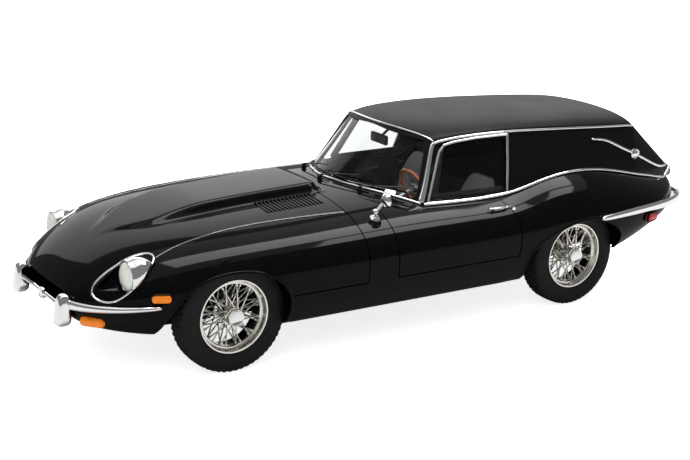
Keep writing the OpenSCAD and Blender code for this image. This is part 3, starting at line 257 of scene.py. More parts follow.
def body_rings(stations, over, under, inset=0.0):
    """Rings of the body loft from nose to tail."""
    rings = []
    for r in spline(BODY.rows, np.linspace(0, 1, stations + 1)):
        w, f = r[1] - inset, r[5] - inset
        h = max(r[3] - r[2] - inset, LEAST)
        a = np.radians(90 * (1 - np.arange(under) / under))
        y = f + (w - f) * np.cos(a) ** (2 / r[7])
        z = r[2] - (r[2] - r[4]) * np.sin(a) ** (2 / r[7])
        b = np.radians(np.linspace(0, 180, over + 1))
        c, s = np.cos(b), np.sin(b)
        q = (np.abs(c / w) ** r[6] + np.abs(s / h) ** r[6]) ** (-1 / r[6])
        top_y = q * c
        top_z = r[2] + q * s + (0 if inset > 0 else bulge(r[0], top_y))
        ys = np.concatenate([y, top_y, -y[::-1]])
        zs = np.concatenate([z, top_z, z[::-1]])
        rings.append(np.stack([np.full_like(ys, r[0]), ys, zs], -1))
    return np.array(rings)


def cabin_y(r, z):
    """Half width of a greenhouse side at a height, for one section row."""
    s = np.clip((z - WAIST_Z) / np.maximum(r[3] - WAIST_Z, MM), 0, 1)
    return np.where(z <= WAIST_Z, r[1], r[1] + (r[2] - r[1]) * s + 2 * SIDE_BOW * s * (1 - s))


def roof_points(r, degrees, inset=0.0):
    """Points of the roof of one section row, by angle from the left drip line to the right one."""
    a = np.radians(np.atleast_1d(degrees))
    y = squared(np.cos(a), 2 / r[5])
    rise = np.clip(np.sin(a), 0, 1) ** (2 / r[5])
    x = r[0] + r[6] * (1 - y * y)
    return np.stack([x, (r[2] - inset) * y, r[3] - inset + (r[4] - r[3]) * rise], -1)


def cabin_rings(stations, over, up, inset=0.0):
    """Rings of the greenhouse loft from the windscreen's foot to the tail."""
    rings = []
    for r in spline(CABIN.rows, np.linspace(0, 1, stations + 1)):
        z = FOOT_Z + max(r[3] - inset - FOOT_Z, LEAST) * np.arange(up + 1) / (up + 1)
        y = cabin_y(r, z) - inset
        left = np.stack([np.full_like(z, r[0]), y, z], -1)
        roof = roof_points(r, np.linspace(0, 180, over + 1), inset)
        rings.append(np.concatenate([left, roof, left[::-1] * (1, -1, 1)]))
    return np.array(rings)


def on_side(x, z, side=1, lift=0.0):
    """Points on a side of the greenhouse, moved outwards by lift."""
    x, z = np.broadcast_arrays(np.atleast_1d(x).astype(float), np.asarray(z, float))
    y = cabin_y(CABIN.at(x).T, z) + lift
    return np.stack([x, side * y, z], -1)


# Modelling steps

# Where the rounded ends of a sweep have their rings, in degrees
CAP_ANGLES = (80, 55, 28)
# A face that is this near an uncut skin and faces as it does takes that skin's shading
SHADE_ANGLE, NEAR_SKIN, NEAR_FACING = math.radians(35), MM / 20, 0.94


def deselect():
    bpy.ops.object.select_all(action="DESELECT")


def named(name):
    piece = bpy.context.object
    piece.name = name
    piece.data.name = name
    return piece


def pick(*pieces):
    """Selects these pieces alone, the first one active."""
    deselect()
    for piece in pieces:
        piece.select_set(True)
    bpy.context.view_layer.objects.active = pieces[0]
    return pieces[0]


def remove(*pieces):
    pick(*pieces)
    bpy.ops.object.delete()


def in_edit(piece, *steps):
    """Runs edit-mode steps on the whole of a piece."""
    pick(piece)
    bpy.ops.object.mode_set(mode="EDIT")
    bpy.ops.mesh.select_mode(type="VERT")
    bpy.ops.mesh.select_all(action="SELECT")
    for step in steps:
        step()
    bpy.ops.object.mode_set(mode="OBJECT")
    return piece


def merge():
    bpy.ops.mesh.remove_doubles(threshold=TINY)


def close_ends():
    bpy.ops.mesh.fill_holes(sides=0)


def face_outwards():
    bpy.ops.mesh.select_all(action="SELECT")
    bpy.ops.mesh.normals_make_consistent(inside=False)


def wrap(name, rings, closed=False, around=True):
    """Lays a grid over rows of points: rings of a section, or an open sheet where around is off."""
    rows = np.asarray(rings, float)
    if around:
        rows = np.concatenate([rows, rows[:, :1]], 1)
    if closed:
        rows = np.concatenate([rows, rows[:1]], 0)
    deselect()
    bpy.ops.mesh.primitive_grid_add(x_subdivisions=rows.shape[1] - 1, y_subdivisions=rows.shape[0] - 1)
    piece = named(name)
    piece.data.vertices.foreach_set("co", rows.reshape(-1))
    piece.data.update()
    steps = [merge]
    if around and not closed:
        steps.append(close_ends)
    if around:
        steps.append(face_outwards)
    return in_edit(piece, *steps)


def directions(path, closed=False):
    """Unit directions along a path."""
    ahead = np.roll(path, -1, 0)
    behind = np.roll(path, 1, 0)
    if not closed:
        ahead[-1] = path[-1]
        behind[0] = path[0]
    return unit(ahead - behind)


def sweep(name, path, lift, across, high, sides=12, closed=False, blunt=False):
    """Sweeps an oval along a path. Half widths run across and along the lift; ends are rounded."""
    path = np.asarray(path, float)
    n = len(path)
    lift = np.array(np.broadcast_to(lift, path.shape), float)
    across = np.array(np.broadcast_to(across, (n,)), float)
    high = np.array(np.broadcast_to(high, (n,)), float)
    run = directions(path, closed)
    if not closed and not blunt:
        caps = np.radians(CAP_ANGLES)
        count = len(caps)
        for end, order in ((0, 1), (-1, -1)):
            tips = path[end] - order * run[end] * min(across[end], high[end]) * np.sin(caps)[:, None]
            path = np.concatenate((tips[::order], path)[::order])
            pad = (count, 0)[::order]
            scale = np.ones(len(path))
            scale[(slice(0, count), slice(-count, None))[end]] = np.cos(caps)[::order]
            across = np.pad(across, pad, mode="edge") * scale
            high = np.pad(high, pad, mode="edge") * scale
            lift = np.pad(lift, (pad, (0, 0)), mode="edge")
            run = np.pad(run, (pad, (0, 0)), mode="edge")
    aside = unit(np.cross(lift, run))
    up = np.cross(run, aside)
    a = 2 * np.pi * (np.arange(sides) + 0.5) / sides
    rings = (path[:, None] + (across[:, None] * np.cos(a))[..., None] * aside[:, None]
             + (high[:, None] * np.sin(a))[..., None] * up[:, None])
    return wrap(name, rings, closed=closed)


def turned(name, outline, steps, scale=MM):
    """Spins a closed outline of (radius, height) points round the Z axis."""
    deselect()
    bpy.ops.mesh.primitive_circle_add(vertices=len(outline), radius=MM)
    piece = named(name)
    points = np.array([(r, 0, h) for r, h in outline], float) * scale
    piece.data.vertices.foreach_set("co", points.reshape(-1))

    def spin():
        bpy.ops.mesh.spin(steps=steps, angle=2 * math.pi, center=(0, 0, 0), axis=(0, 0, 1))

    def weld():
        bpy.ops.mesh.select_all(action="SELECT")
        merge()

    return in_edit(piece, spin, weld, face_outwards)


def placed(piece, place=(0, 0, 0), turn=(0, 0, 0)):
    """Moves a piece that was made at the origin to its place, and keeps the place in its mesh."""
    pick(piece)
    piece.location = place
    piece.rotation_euler = turn
    bpy.ops.object.transform_apply(location=True, rotation=True, scale=True)
    return piece


def copied(piece, name):
    pick(piece)
    bpy.ops.object.duplicate(linked=False)
    return named(name)


def mirrored(piece, name):
    """Right-hand twin of a left-hand piece."""
    twin = copied(piece, name)
    twin.scale.y = -1
    bpy.ops.object.transform_apply(location=False, rotation=False, scale=True)
    return in_edit(twin, face_outwards)


def joined(name, *pieces):
    pick(*pieces)
    bpy.ops.object.join()
    return named(name)


def pair(piece, name):
    """A left-hand piece and its right-hand twin as one."""
    return joined(name, piece, mirrored(piece, name + "_twin"))


def cut(piece, tool, operation="DIFFERENCE"):
    """Cuts a piece with a tool, which is then deleted."""
    pick(piece)
    step = piece.modifiers.new("Cut", "BOOLEAN")
    step.operation = operation
    step.solver = "MANIFOLD"
    step.object = tool
    bpy.ops.object.modifier_apply(modifier=step.name)
    remove(tool)
    return piece


def rounded_box(name, size, bevel, segments=4):
    """A block with rounded edges, centred at the origin."""
    deselect()
    bpy.ops.mesh.primitive_cube_add(size=1)
    piece = named(name)
    piece.scale = size
    bpy.ops.object.transform_apply(location=False, rotation=False, scale=True)

    def soften():
        bpy.ops.mesh.bevel(offset=bevel, segments=segments, affect="EDGES", clamp_overlap=True)

    return in_edit(piece, soften, face_outwards)


def rod(name, a, b, radius, sides=12):
    return sweep(name, (a, b), lift_for(np.subtract(b, a)), radius, radius, sides)


def lift_for(run):
    """A direction that isn't along the run."""
    return (1, 0, 0) if abs(run[0]) < 0.7 * np.linalg.norm(run) else (0, 0, 1)


def prism(name, outline, low, high, plane):
    """A flat outline carried between two levels: plane xz runs along Y, yz along X, xy along Z."""
    order = {"xz": (0, 2, 1), "yz": (2, 0, 1), "xy": (0, 1, 2)}[plane]
    rings = [np.column_stack([outline, np.full(len(outline), level)])[:, order]
             for level in (low, high)]
    return wrap(name, rings)


def rectangle(x0, x1, half):
    """Corners of a block that spans the middle of the car."""
    return ((x0, -half), (x1, -half), (x1, half), (x0, half))


def ring_angles(count):
    """Even angles round a full turn."""
    return np.linspace(0, 2 * math.pi, count, endpoint=False)


def squared(values, power):
    """Rounds a circle's sine or cosine towards a square."""
    return np.sign(values) * np.abs(values) ** power


def hull_outline(centres, radius, steps=6):
    """Outline of a convex run of corner circles."""
    c = np.asarray(centres, float)
    middle = c.mean(0)
    c = c[np.argsort(np.arctan2(*(c - middle).T[::-1]))]
    points = []
    for i, p in enumerate(c):
        before = p - c[i - 1]
        after = c[(i + 1) % len(c)] - p
        start = math.atan2(-before[0], before[1])
        end = math.atan2(-after[0], after[1])
        span = (end - start) % (2 * math.pi)
        for a in start + span * np.arange(steps + 1) / steps:
            points.append(p - radius * np.array((math.cos(a + math.pi), math.sin(a + math.pi))))
    return np.array(points)


def keep_shading(piece, skin):
    """Gives the faces left of an uncut skin that skin's own smooth normals."""
    mesh = skin.data
    mesh.calc_loop_triangles()
    points = [v.co.copy() for v in mesh.vertices]
    normals = [v.normal.copy() for v in mesh.vertices]
    triangles = [tuple(t.vertices) for t in mesh.loop_triangles]
    tree = BVHTree.FromPolygons(points, triangles)
    pick(piece)
    bpy.ops.object.shade_smooth_by_angle(angle=SHADE_ANGLE)
    shown = [c.vector.copy() for c in piece.data.corner_normals]
    for face in piece.data.polygons:
        spot, facing, index, away = tree.find_nearest(face.center)
        if away > NEAR_SKIN or facing.dot(face.normal) < NEAR_FACING:
            continue
        for loop in face.loop_indices:
            co = piece.data.vertices[piece.data.loops[loop].vertex_index].co
            spot, facing, index, away = tree.find_nearest(co)
            a, b, c = triangles[index]
            shown[loop] = barycentric_transform(spot, points[a], points[b], points[c],
                                                normals[a], normals[b], normals[c]).normalized()
    piece.data.normals_split_custom_set([tuple(n) for n in shown])
    remove(skin)


def finished(piece, material, slot, *nodes, body=ROOT, angle=40):
    """Shades a piece, paints it, ties it to its body and hides the nodes it stands for; slot is not used."""
    if angle:
        pick(piece)
        bpy.ops.object.shade_smooth_by_angle(angle=math.radians(angle))
    piece.data.materials.clear()
    piece.data.materials.append(bpy.data.materials[FINISH + material])
    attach(piece, body)
    if nodes:
        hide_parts(*nodes)
    return piece


# Settings

def colour(name, description, default):
    return bpy.props.FloatVectorProperty(name=name, description=description, default=default,
                                         subtype="COLOR", size=3, min=0, max=1)


def length(name, description, default):
    return bpy.props.FloatProperty(name=name, description=description, default=default,
                                   subtype="DISTANCE", unit="LENGTH", min=0, precision=5)


class BrakeSizes(bpy.types.PropertyGroup):
    """Small sizes that a user may change."""
    bead: length("Bead", "Width of the thin bright beads", 1.0 * MM)
    gap: length("Panel gap", "Width of an engraved panel gap", 0.42 * MM)
    gap_depth: length("Gap depth", "Depth of an engraved panel gap", 0.7 * MM)
    glass: length("Glass", "Thickness of the panes", 0.5 * MM)
    spoke: length("Spoke", "Diameter of a wire spoke", 0.5 * MM)
    louvres: bpy.props.IntProperty(name="Louvres", description="Slots in each bonnet panel",
                                   default=15, min=4, max=20)


class BrakeColours(bpy.types.PropertyGroup):
    """Colours of the finishes."""
    paint: colour("Paint", "Gloss black of the body", (0.001, 0.001, 0.0018))
    roof: colour("Roof", "Satin black of the roof and quarters", (0.0016, 0.0016, 0.002))
    chrome: colour("Chrome", "Bright plating", (0.9, 0.9, 0.9))
    wire: colour("Wheel plating", "Warm bright plating of the wheels", (0.88, 0.86, 0.8))
    amber: colour("Amber", "Turn signals and side markers", (0.7, 0.165, 0.008))
    red: colour("Red", "Tail lamps", (0.34, 0.014, 0.016))
    rubber: colour("Rubber", "Tyres", (0.006, 0.006, 0.0065))
    trim: colour("Cabin trim", "Black of the cabin", (0.006, 0.006, 0.0065))
    seat: colour("Seats", "Grey of the moulded seats", (0.18, 0.18, 0.185))
    wood: colour("Wood", "Steering wheel rim", (0.42, 0.1, 0.02))
    base: colour("Base", "Moulded base plate", (0.02, 0.02, 0.021))
    steel: colour("Steel", "Axles and pipes", (0.5, 0.5, 0.51))
    floor: colour("Floor", "Studio floor", (0.95, 0.95, 0.95))


# Materials

RIB_DEPTH = 0.2 * MM


def node_group(name, inputs, outputs):
    """An empty shader node group with named sockets."""
    group = bpy.data.node_groups.new(name, "ShaderNodeTree")
    for label, kind, default in inputs:
        socket = group.interface.new_socket(label, in_out="INPUT", socket_type=kind)
        socket.default_value = default
    for label, kind in outputs:
        group.interface.new_socket(label, in_out="OUTPUT", socket_type=kind)
    return group, group.nodes.new("NodeGroupInput"), group.nodes.new("NodeGroupOutput")


def feed(tree, socket, value):
    """Links another socket to a socket, or sets it to a value."""
    if isinstance(value, bpy.types.NodeSocket):
        tree.links.new(value, socket)
    else:
        socket.default_value = value


def math_node(tree, operation, *values):
    """A Math node; a value is a number or a socket."""
    node = tree.nodes.new("ShaderNodeMath")
    node.operation = operation
    for socket, value in zip(node.inputs, values):
        feed(tree, socket, value)
    return node.outputs[0]


def noise_node(tree, vector, scale, detail=3.0):
    node = tree.nodes.new("ShaderNodeTexNoise")
    for label, value in (("Detail", detail), ("Vector", vector), ("Scale", scale)):
        feed(tree, node.inputs[label], value)
    return node.outputs["Fac"]


def make_surface_group():
    """Handled surface: a fine texture height, and a roughness that varies in soft patches."""
    group, given, out = node_group(
        "Handled surface",
        (("Texture scale", "NodeSocketFloat", 900.0), ("Patch scale", "NodeSocketFloat", 60.0),
         ("Roughness", "NodeSocketFloat", 0.3), ("Spread", "NodeSocketFloat", 0.1)),
        (("Roughness", "NodeSocketFloat"), ("Height", "NodeSocketFloat")))
    place = group.nodes.new("ShaderNodeTexCoord").outputs["Object"]
    fine = noise_node(group, place, given.outputs["Texture scale"])
    patch = noise_node(group, place, given.outputs["Patch scale"], 4.0)
    centred = math_node(group, "SUBTRACT", patch, 0.5)
    varied = math_node(group, "MULTIPLY_ADD", centred, given.outputs["Spread"], given.outputs["Roughness"])
    group.links.new(varied, out.inputs["Roughness"])
    group.links.new(fine, out.inputs["Height"])


def make_dust_group():
    """Settled dust: a mask for surfaces that face up, broken by noise."""
    group, given, out = node_group(
        "Settled dust", (("Amount", "NodeSocketFloat", 0.1), ("Scale", "NodeSocketFloat", 250.0)),
        (("Mask", "NodeSocketFloat"),))
    place = group.nodes.new("ShaderNodeTexCoord").outputs["Object"]
    facing = group.nodes.new("ShaderNodeSeparateXYZ")
    group.links.new(group.nodes.new("ShaderNodeNewGeometry").outputs["Normal"], facing.inputs[0])
    up = math_node(group, "MAXIMUM", facing.outputs["Z"], 0.0)
    speck = noise_node(group, place, given.outputs["Scale"], 6.0)
    broken = math_node(group, "MULTIPLY", up, speck)
    group.links.new(math_node(group, "MULTIPLY", broken, given.outputs["Amount"]), out.inputs["Mask"])


def make_ribs_group():
    """Moulded ribs: a height that runs in even lines across a lens."""
    group, given, out = node_group(
        "Moulded ribs", (("Scale", "NodeSocketFloat", 300.0), ("Turn", "NodeSocketVector", (0, 0, 0))),
        (("Height", "NodeSocketFloat"),))
    turn = group.nodes.new("ShaderNodeMapping")
    group.links.new(group.nodes.new("ShaderNodeTexCoord").outputs["Object"], turn.inputs["Vector"])
    group.links.new(given.outputs["Turn"], turn.inputs["Rotation"])
    wave = group.nodes.new("ShaderNodeTexWave")
    wave.inputs["Distortion"].default_value = 0.0
    group.links.new(turn.outputs[0], wave.inputs["Vector"])
    group.links.new(given.outputs["Scale"], wave.inputs["Scale"])
    group.links.new(wave.outputs["Fac"], out.inputs["Height"])


def place_group(tree, name, **values):
    node = tree.nodes.new("ShaderNodeGroup")
    node.node_tree = bpy.data.node_groups[name]
    for label, value in values.items():
        node.inputs[label.replace("_", " ")].default_value = value
    return node


def new_material(name, base, **sockets):
    """A material with plain values on its shader's own sockets."""
    material = bpy.data.materials.new(FINISH + name)
    material.use_nodes = True
    shader = material.node_tree.nodes["Principled BSDF"]
    shader.inputs["Base Color"].default_value = (*base, 1)
    for label, value in sockets.items():
        shader.inputs[label.replace("_", " ")].default_value = value
    return material.node_tree, shader


def add_surface(tree, shader, strength, distance, roughness, spread, texture_scale=900.0, patch_scale=60.0):
    """Roughness patches and a fine bump from the shared surface group."""
    group = place_group(tree, "Handled surface", Texture_scale=texture_scale, Patch_scale=patch_scale,
                        Roughness=roughness, Spread=spread)
    tree.links.new(group.outputs["Roughness"], shader.inputs["Roughness"])
    add_bump(tree, shader, group.outputs["Height"], strength, distance)


def add_bump(tree, shader, height, strength, distance):
    bump = tree.nodes.new("ShaderNodeBump")
    for label, value in (("Strength", strength), ("Distance", distance), ("Height", height)):
        feed(tree, bump.inputs[label], value)
    tree.links.new(bump.outputs[0], shader.inputs["Normal"])


def add_ribs(tree, shader, strength, **values):
    """Moulded ribs on a lens."""
    ribs = place_group(tree, "Moulded ribs", **values)
    add_bump(tree, shader, ribs.outputs["Height"], strength, RIB_DEPTH)


def mix_base(tree, shader, first, second, factor):
    """Mixes a second colour into the base colour by a socket."""
    mix = tree.nodes.new("ShaderNodeMix")
    mix.data_type = "RGBA"
    for label, value in (("A", (*first, 1)), ("B", (*second, 1)), ("Factor", factor)):
        feed(tree, mix.inputs[label], value)
    tree.links.new(mix.outputs["Result"], shader.inputs["Base Color"])


def add_dust(tree, shader, base, dust, amount):
    """Mixes a pale dust into the base colour where surfaces face up."""
    group = place_group(tree, "Settled dust", Amount=amount)
    mix_base(tree, shader, base, dust, group.outputs["Mask"])


def make_paints(c):
    tree, shader = new_material("gloss_black", c.paint, IOR=1.5, Specular_IOR_Level=0.1)
    add_surface(tree, shader, 0.02, 0.02 * MM, 0.06, 0.03, texture_scale=350.0, patch_scale=25.0)
    add_dust(tree, shader, c.paint, (0.05, 0.05, 0.052), 0.06)
    tree, shader = new_material("satin_black", c.roof, IOR=1.5, Specular_IOR_Level=0.1)
    add_surface(tree, shader, 0.12, 0.05 * MM, 0.42, 0.1, texture_scale=2600.0)
    add_dust(tree, shader, c.roof, (0.06, 0.06, 0.062), 0.08)


def make_metals(c):
    for name, base, roughness, spread in (
            ("chrome", c.chrome, 0.06, 0.06), ("wire_chrome", c.wire, 0.14, 0.1),
            ("steel", c.steel, 0.32, 0.2), ("pipe", c.steel, 0.24, 0.16)):
        tree, shader = new_material(name, base, Metallic=1.0)
        add_surface(tree, shader, 0.03, 0.02 * MM, roughness, spread)


def make_glass(c):
    new_material("glass", (0.95, 0.96, 0.965), Roughness=0.0, IOR=1.14, Transmission_Weight=1.0)
    tree, shader = new_material("lamp_glass", (0.93, 0.95, 0.9), Roughness=0.12, IOR=1.35,
                                Transmission_Weight=0.55)
    add_ribs(tree, shader, 0.35, Scale=220.0, Turn=(0, 0, math.radians(90)))
    for name, base in (("amber_lens", c.amber), ("red_lens", c.red)):
        tree, shader = new_material(name, base, Roughness=0.12, IOR=1.49, Subsurface_Weight=0.1)
        add_ribs(tree, shader, 0.5, Scale=330.0)


def make_soft_and_plastic(c):
    for name, base, roughness, scale, depth in (
            ("rubber", c.rubber, 0.72, 1400.0, 0.08 * MM), ("cabin_trim", c.trim, 0.55, 1800.0, 0.08 * MM),
            ("base_plastic", c.base, 0.5, 1200.0, 0.06 * MM), ("wiper_black", c.trim, 0.4, 900.0, 0.03 * MM),
            ("seat_hide", c.seat, 0.5, 1100.0, 0.1 * MM)):
        tree, shader = new_material(name, base, IOR=1.48, Specular_IOR_Level=0.25)
        add_surface(tree, shader, 0.35, depth, roughness, 0.14, texture_scale=scale)
        add_dust(tree, shader, base, tuple(min(1, 1.3 * b + 0.02) for b in base), 0.2)


def make_wood(c):
    tree, shader = new_material("wheel_wood", c.wood, Roughness=0.22, Coat_Weight=0.4)
    place = tree.nodes.new("ShaderNodeTexCoord").outputs["Object"]
    streak = tree.nodes.new("ShaderNodeMapping")
    streak.inputs["Scale"].default_value = (1, 1, 7)
    tree.links.new(place, streak.inputs["Vector"])
    mask = noise_node(tree, streak.outputs[0], 260.0, 5.0)
    mix_base(tree, shader, c.wood, [0.4 * x for x in c.wood], mask)


class BRAKE_OT_finishes(bpy.types.Operator):
    """Make the shared node groups and every finish"""
    bl_idname = "brake.make_finishes"
    bl_label = "Finishes"

    def execute(self, context):
        c = context.scene.brake_colours
        for make in (make_surface_group, make_dust_group, make_ribs_group):
            make()
        for make in (make_paints, make_metals, make_glass, make_soft_and_plastic, make_wood):
            make(c)
        return {"FINISHED"}


# Body

FRONT_ARCH_SHARES = ((1.75, -0.75), (1.36, -0.10), (1.10, 0.42), (0.74, 0.76), (0.05, 0.90), (-0.62, 0.76),
                     (-0.98, 0.32), (-0.88, -0.20), (-0.70, -0.75))
REAR_ARCH_SHARES = ((1.40, -0.75), (1.54, -0.10), (1.46, 0.40), (0.95, 0.64), (0.22, 0.88), (-0.42, 0.80),
                    (-1.00, 0.48), (-0.92, 0.10), (-0.60, -0.75))
ARCHES = ((FRONT_AXLE, FRONT_ARCH_SHARES), (REAR_AXLE, REAR_ARCH_SHARES))
WELL_ROOM = 0.8 * MM
WELL_INNER = FRONT_AXLE.y - TYRE_HALF - 4 * WELL_ROOM
BONNET_REAR_SHARE, DOOR_FRONT_SHARE, DOOR_FOOT_SHARE = 0.250, 0.157, 0.458
DOOR_TOP_SHARE, BONNET_TOP_SHARE, BONNET_EDGE_SHARE = 0.83, 0.74, 0.72
DOOR_REAR_SHARES = ((-0.222, 0.800), (-0.236, 0.760), (-0.247, 0.680), (-0.249, 0.560), (-0.243, 0.458))
BULKHEAD_SHARE, SEATBACK_SHARE, DECK_REAR_SHARE = 0.125, -0.300, -0.905
DECK_SHARE, DECK_LAP_SHARE = 0.737, 0.01
TUB_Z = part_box("interior_tub")[0].z
MOUTH_HALF_SHARE, MOUTH_SHARE = 0.335, 0.428
MOUTH_HEIGHT, MOUTH_DEPTH = 6.3 * MM, 9 * MM
SPOT = np.array((HALF_LENGTH, HALF_WIDTH, HAUNCH))
LAMP_AT = shares_of((0.847, 0.632, 0.618), SPOT)
WELL_TIP = shares_of((0.903, 0.545, 0.548), SPOT)
BUCKET_TIP = shares_of((0.797, 0.668, 0.676), SPOT)
LAMP_R, WELL_RIM, WELL_TIP_R, BUCKET_TIP_R = 5.2 * MM, 0.3 * MM, 1.3 * MM, 1.2 * MM
LOUVRE_SHARES, LOUVRE_SPAN_SHARES = (0.283, 0.443), (0.302, 0.497)
LOUVRE_SLOT, LOUVRE_LIP = 0.6 * MM, 0.2 * MM
# Shares of the louvres' pitch: how far behind its slot a lip lies, and half its width
LIP_BEHIND, LIP_HALF = 0.36, 0.3
ARCH_LIP_HALF, ARCH_LIP_HIGH, ARCH_LIP_SINK, ARCH_LIP_FOOT = 0.45 * MM, 0.34 * MM, 0.1 * MM, 0.4 * MM
PLATE_HALF_SHARE, PLATE_ROOM = 0.5, 1.8 * MM
CARRIER_HALF, AXLE_ROOM = 4.8 * MM, 2 * MM
# A groove is swept with four sides, whose flats lie at 0.707 of its half widths
GROOVE_ACROSS, GROOVE_DEEP = 0.707, 1.414


def arch_line(shares, axle, steps=60):
    return spline(shares, np.linspace(0, 1, steps + 1)) * TYRE_R + (axle.x, axle.z)


def cut_wheel_wells(body):
    """Round wells for the tyres, and the openings in the skin round them."""
    a = ring_angles(64)
    for axle, shares in ARCHES:
        ring = (TYRE_R + WELL_ROOM) * np.stack([np.cos(a), np.sin(a)], -1) + (axle.x, axle.z)
        line = arch_line(shares, axle)
        outer = axle.y + TYRE_HALF + WELL_ROOM
        for side in SIDES:
            cut(body, prism("well", ring, side * WELL_INNER, side * outer, "xz"))
            cut(body, prism("opening", line, side * (WELL_INNER + MM), side * 2 * HALF_WIDTH, "xz"))


def cut_cabin(body):
    """Hollow of the cabin and the load space."""
    for rear, front, floor in (
            (SEATBACK_SHARE, BULKHEAD_SHARE, TUB_Z),
            (DECK_REAR_SHARE, SEATBACK_SHARE + DECK_LAP_SHARE, DECK_SHARE * HAUNCH)):
        hollow = wrap("hollow", body_rings(60, 40, 6, BODY_WALL))
        corners = rectangle(rear * HALF_LENGTH, front * HALF_LENGTH, 2 * HALF_WIDTH)
        cut(body, cut(hollow, prism("block", corners, floor, 2 * ROOF_HEIGHT, "xy"), "INTERSECT"))
    cut(body, wrap("cabin_space", cabin_rings(60, 32, 6, ROOF_WALL)))


def cut_mouth(body):
    half = MOUTH_HALF_SHARE * HALF_WIDTH - MOUTH_HEIGHT / 2
    z = MOUTH_SHARE * HAUNCH
    corners = ((-half, z), (-half, z + TINY), (half, z), (half, z + TINY))
    outline = hull_outline(corners, MOUTH_HEIGHT / 2, 12)
    front = BODY.rows[0][0]
    cut(body, prism("mouth", outline, front - MOUTH_DEPTH, front + MOUTH_DEPTH, "yz"))


def cut_lamp_wells(body):
    """Open wells for the headlamps: a round bowl drawn out to a front tip and back along the bucket."""
    spots = ((LAMP_AT, LAMP_R + WELL_RIM), (WELL_TIP, WELL_TIP_R), (BUCKET_TIP, BUCKET_TIP_R + WELL_RIM),
             (LAMP_AT + LAMP_R * np.array((1, 0.5, 1)), LAMP_R))
    for side in SIDES:
        deselect()
        bpy.ops.mesh.primitive_uv_sphere_add(segments=24, ring_count=12, radius=1)
        ball = named("ball")
        shell = np.array([v.co for v in ball.data.vertices])
        cloud = np.concatenate([shell * r + at * (1, side, 1) for at, r in spots])
        remove(ball)
        bpy.ops.mesh.primitive_grid_add(x_subdivisions=len(cloud) - 1, y_subdivisions=1)
        well = named("lamp_well")
        points = np.concatenate([cloud, cloud])
        well.data.vertices.foreach_set("co", points.reshape(-1))

        def shrink_wrap():
            bpy.ops.mesh.delete(type="ONLY_FACE")
            bpy.ops.mesh.select_all(action="SELECT")
            merge()
            bpy.ops.mesh.convex_hull(delete_unused=True, use_existing_faces=False, make_holes=False,
                                     join_triangles=False)

        cut(body, in_edit(well, shrink_wrap, face_outwards))


def groove(body, path, normals, sizes, width=None):
    """Engraves a line along a path on the skin."""
    width = width or sizes.gap
    cut(body, sweep("groove", path, normals, width * GROOVE_ACROSS, sizes.gap_depth * GROOVE_DEEP, 4,
                    blunt=True))


def louvre_places(sizes):
    """Places of the louvres along the car, and points across each of them."""
    return even(LOUVRE_SHARES, HALF_LENGTH, sizes.louvres), even(LOUVRE_SPAN_SHARES, HALF_WIDTH, 10)


def cut_panel_gaps(body, sizes):
    """Gaps of the doors and the bonnet, and the louvre slots."""
    foot = DOOR_FOOT_SHARE * HAUNCH
    door_x = DOOR_FRONT_SHARE * HALF_LENGTH
    bonnet_x = BONNET_REAR_SHARE * HALF_LENGTH
    rear = spline(DOOR_REAR_SHARES, np.linspace(0, 1, 24)) * (HALF_LENGTH, HAUNCH)
    arch = arch_line(FRONT_ARCH_SHARES, FRONT_AXLE)
    arch_x = arch[np.argmin(np.abs(arch[30:, 1] - foot)) + 30, 0]
    for side in SIDES:
        up = np.linspace(foot, DOOR_TOP_SHARE * HAUNCH, 30)
        groove(body, *on_flank(np.full(30, door_x), up, side), sizes)
        groove(body, *on_flank(rear[:, 0], rear[:, 1], side), sizes)
        groove(body, *on_flank(np.linspace(rear[-1, 0], door_x, 40), np.full(40, foot), side), sizes)
        up = np.linspace(foot, BONNET_TOP_SHARE * HAUNCH, 24)
        groove(body, *on_flank(np.full(24, bonnet_x), up, side), sizes)
        groove(body, *on_flank(np.linspace(bonnet_x, arch_x + MM, 24), np.full(24, foot), side), sizes)
    wide = body_y(bonnet_x, BONNET_EDGE_SHARE * HAUNCH)[0]
    groove(body, *on_top(np.full(90, bonnet_x), np.linspace(-wide, wide, 90)), sizes)
    step, span = louvre_places(sizes)
    for side in SIDES:
        for x in step:
            groove(body, *on_top(np.full_like(span, x), side * span), sizes, LOUVRE_SLOT)


def make_louvre_lips(sizes):
    """Raised lips behind the louvre slots."""
    step, span = louvre_places(sizes)
    pitch = step[1] - step[0]
    lips = []
    for side in SIDES:
        for x in step:
            path, normals = on_top(np.full_like(span, x - LIP_BEHIND * pitch), side * span)
            lips.append(sweep("lip", path, normals, LIP_HALF * pitch, LOUVRE_LIP, 8))
    return joined("louvre_lips", *lips)


def make_arch_lips():
    """Rolled lips along the edges of the wheel openings."""
    lips = []
    for axle, shares in ARCHES:
        line = arch_line(shares, axle, 80)
        floor = BODY.at(line[:, 0])[:, 4]
        line = line[line[:, 1] > floor + ARCH_LIP_FOOT]
        for side in SIDES:
            path, normals = on_flank(line[:, 0], line[:, 1], side, -ARCH_LIP_SINK)
            lips.append(sweep("lip", path, normals, ARCH_LIP_HALF, ARCH_LIP_HIGH, 8))
    return joined("arch_lips", *lips)


def cut_base_pocket(body):
    """Room for the base plate, the axle carriers and the axles."""
    low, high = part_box("base_plate")
    y = PLATE_HALF_SHARE * HALF_WIDTH + SEAT_GAP
    blocks = [(low.x - SEAT_GAP, high.x + SEAT_GAP, y, low.z + PLATE_ROOM)]
    for axle in (FRONT_AXLE, REAR_AXLE):
        blocks.append((axle.x - CARRIER_HALF, axle.x + CARRIER_HALF, y, high.z + SEAT_GAP))
        blocks.append((axle.x - AXLE_ROOM, axle.x + AXLE_ROOM, WELL_INNER + MM, axle.z + AXLE_ROOM))
    for x0, x1, half, top in blocks:
        cut(body, prism("pocket", rectangle(x0, x1, half), 0, top, "xy"))


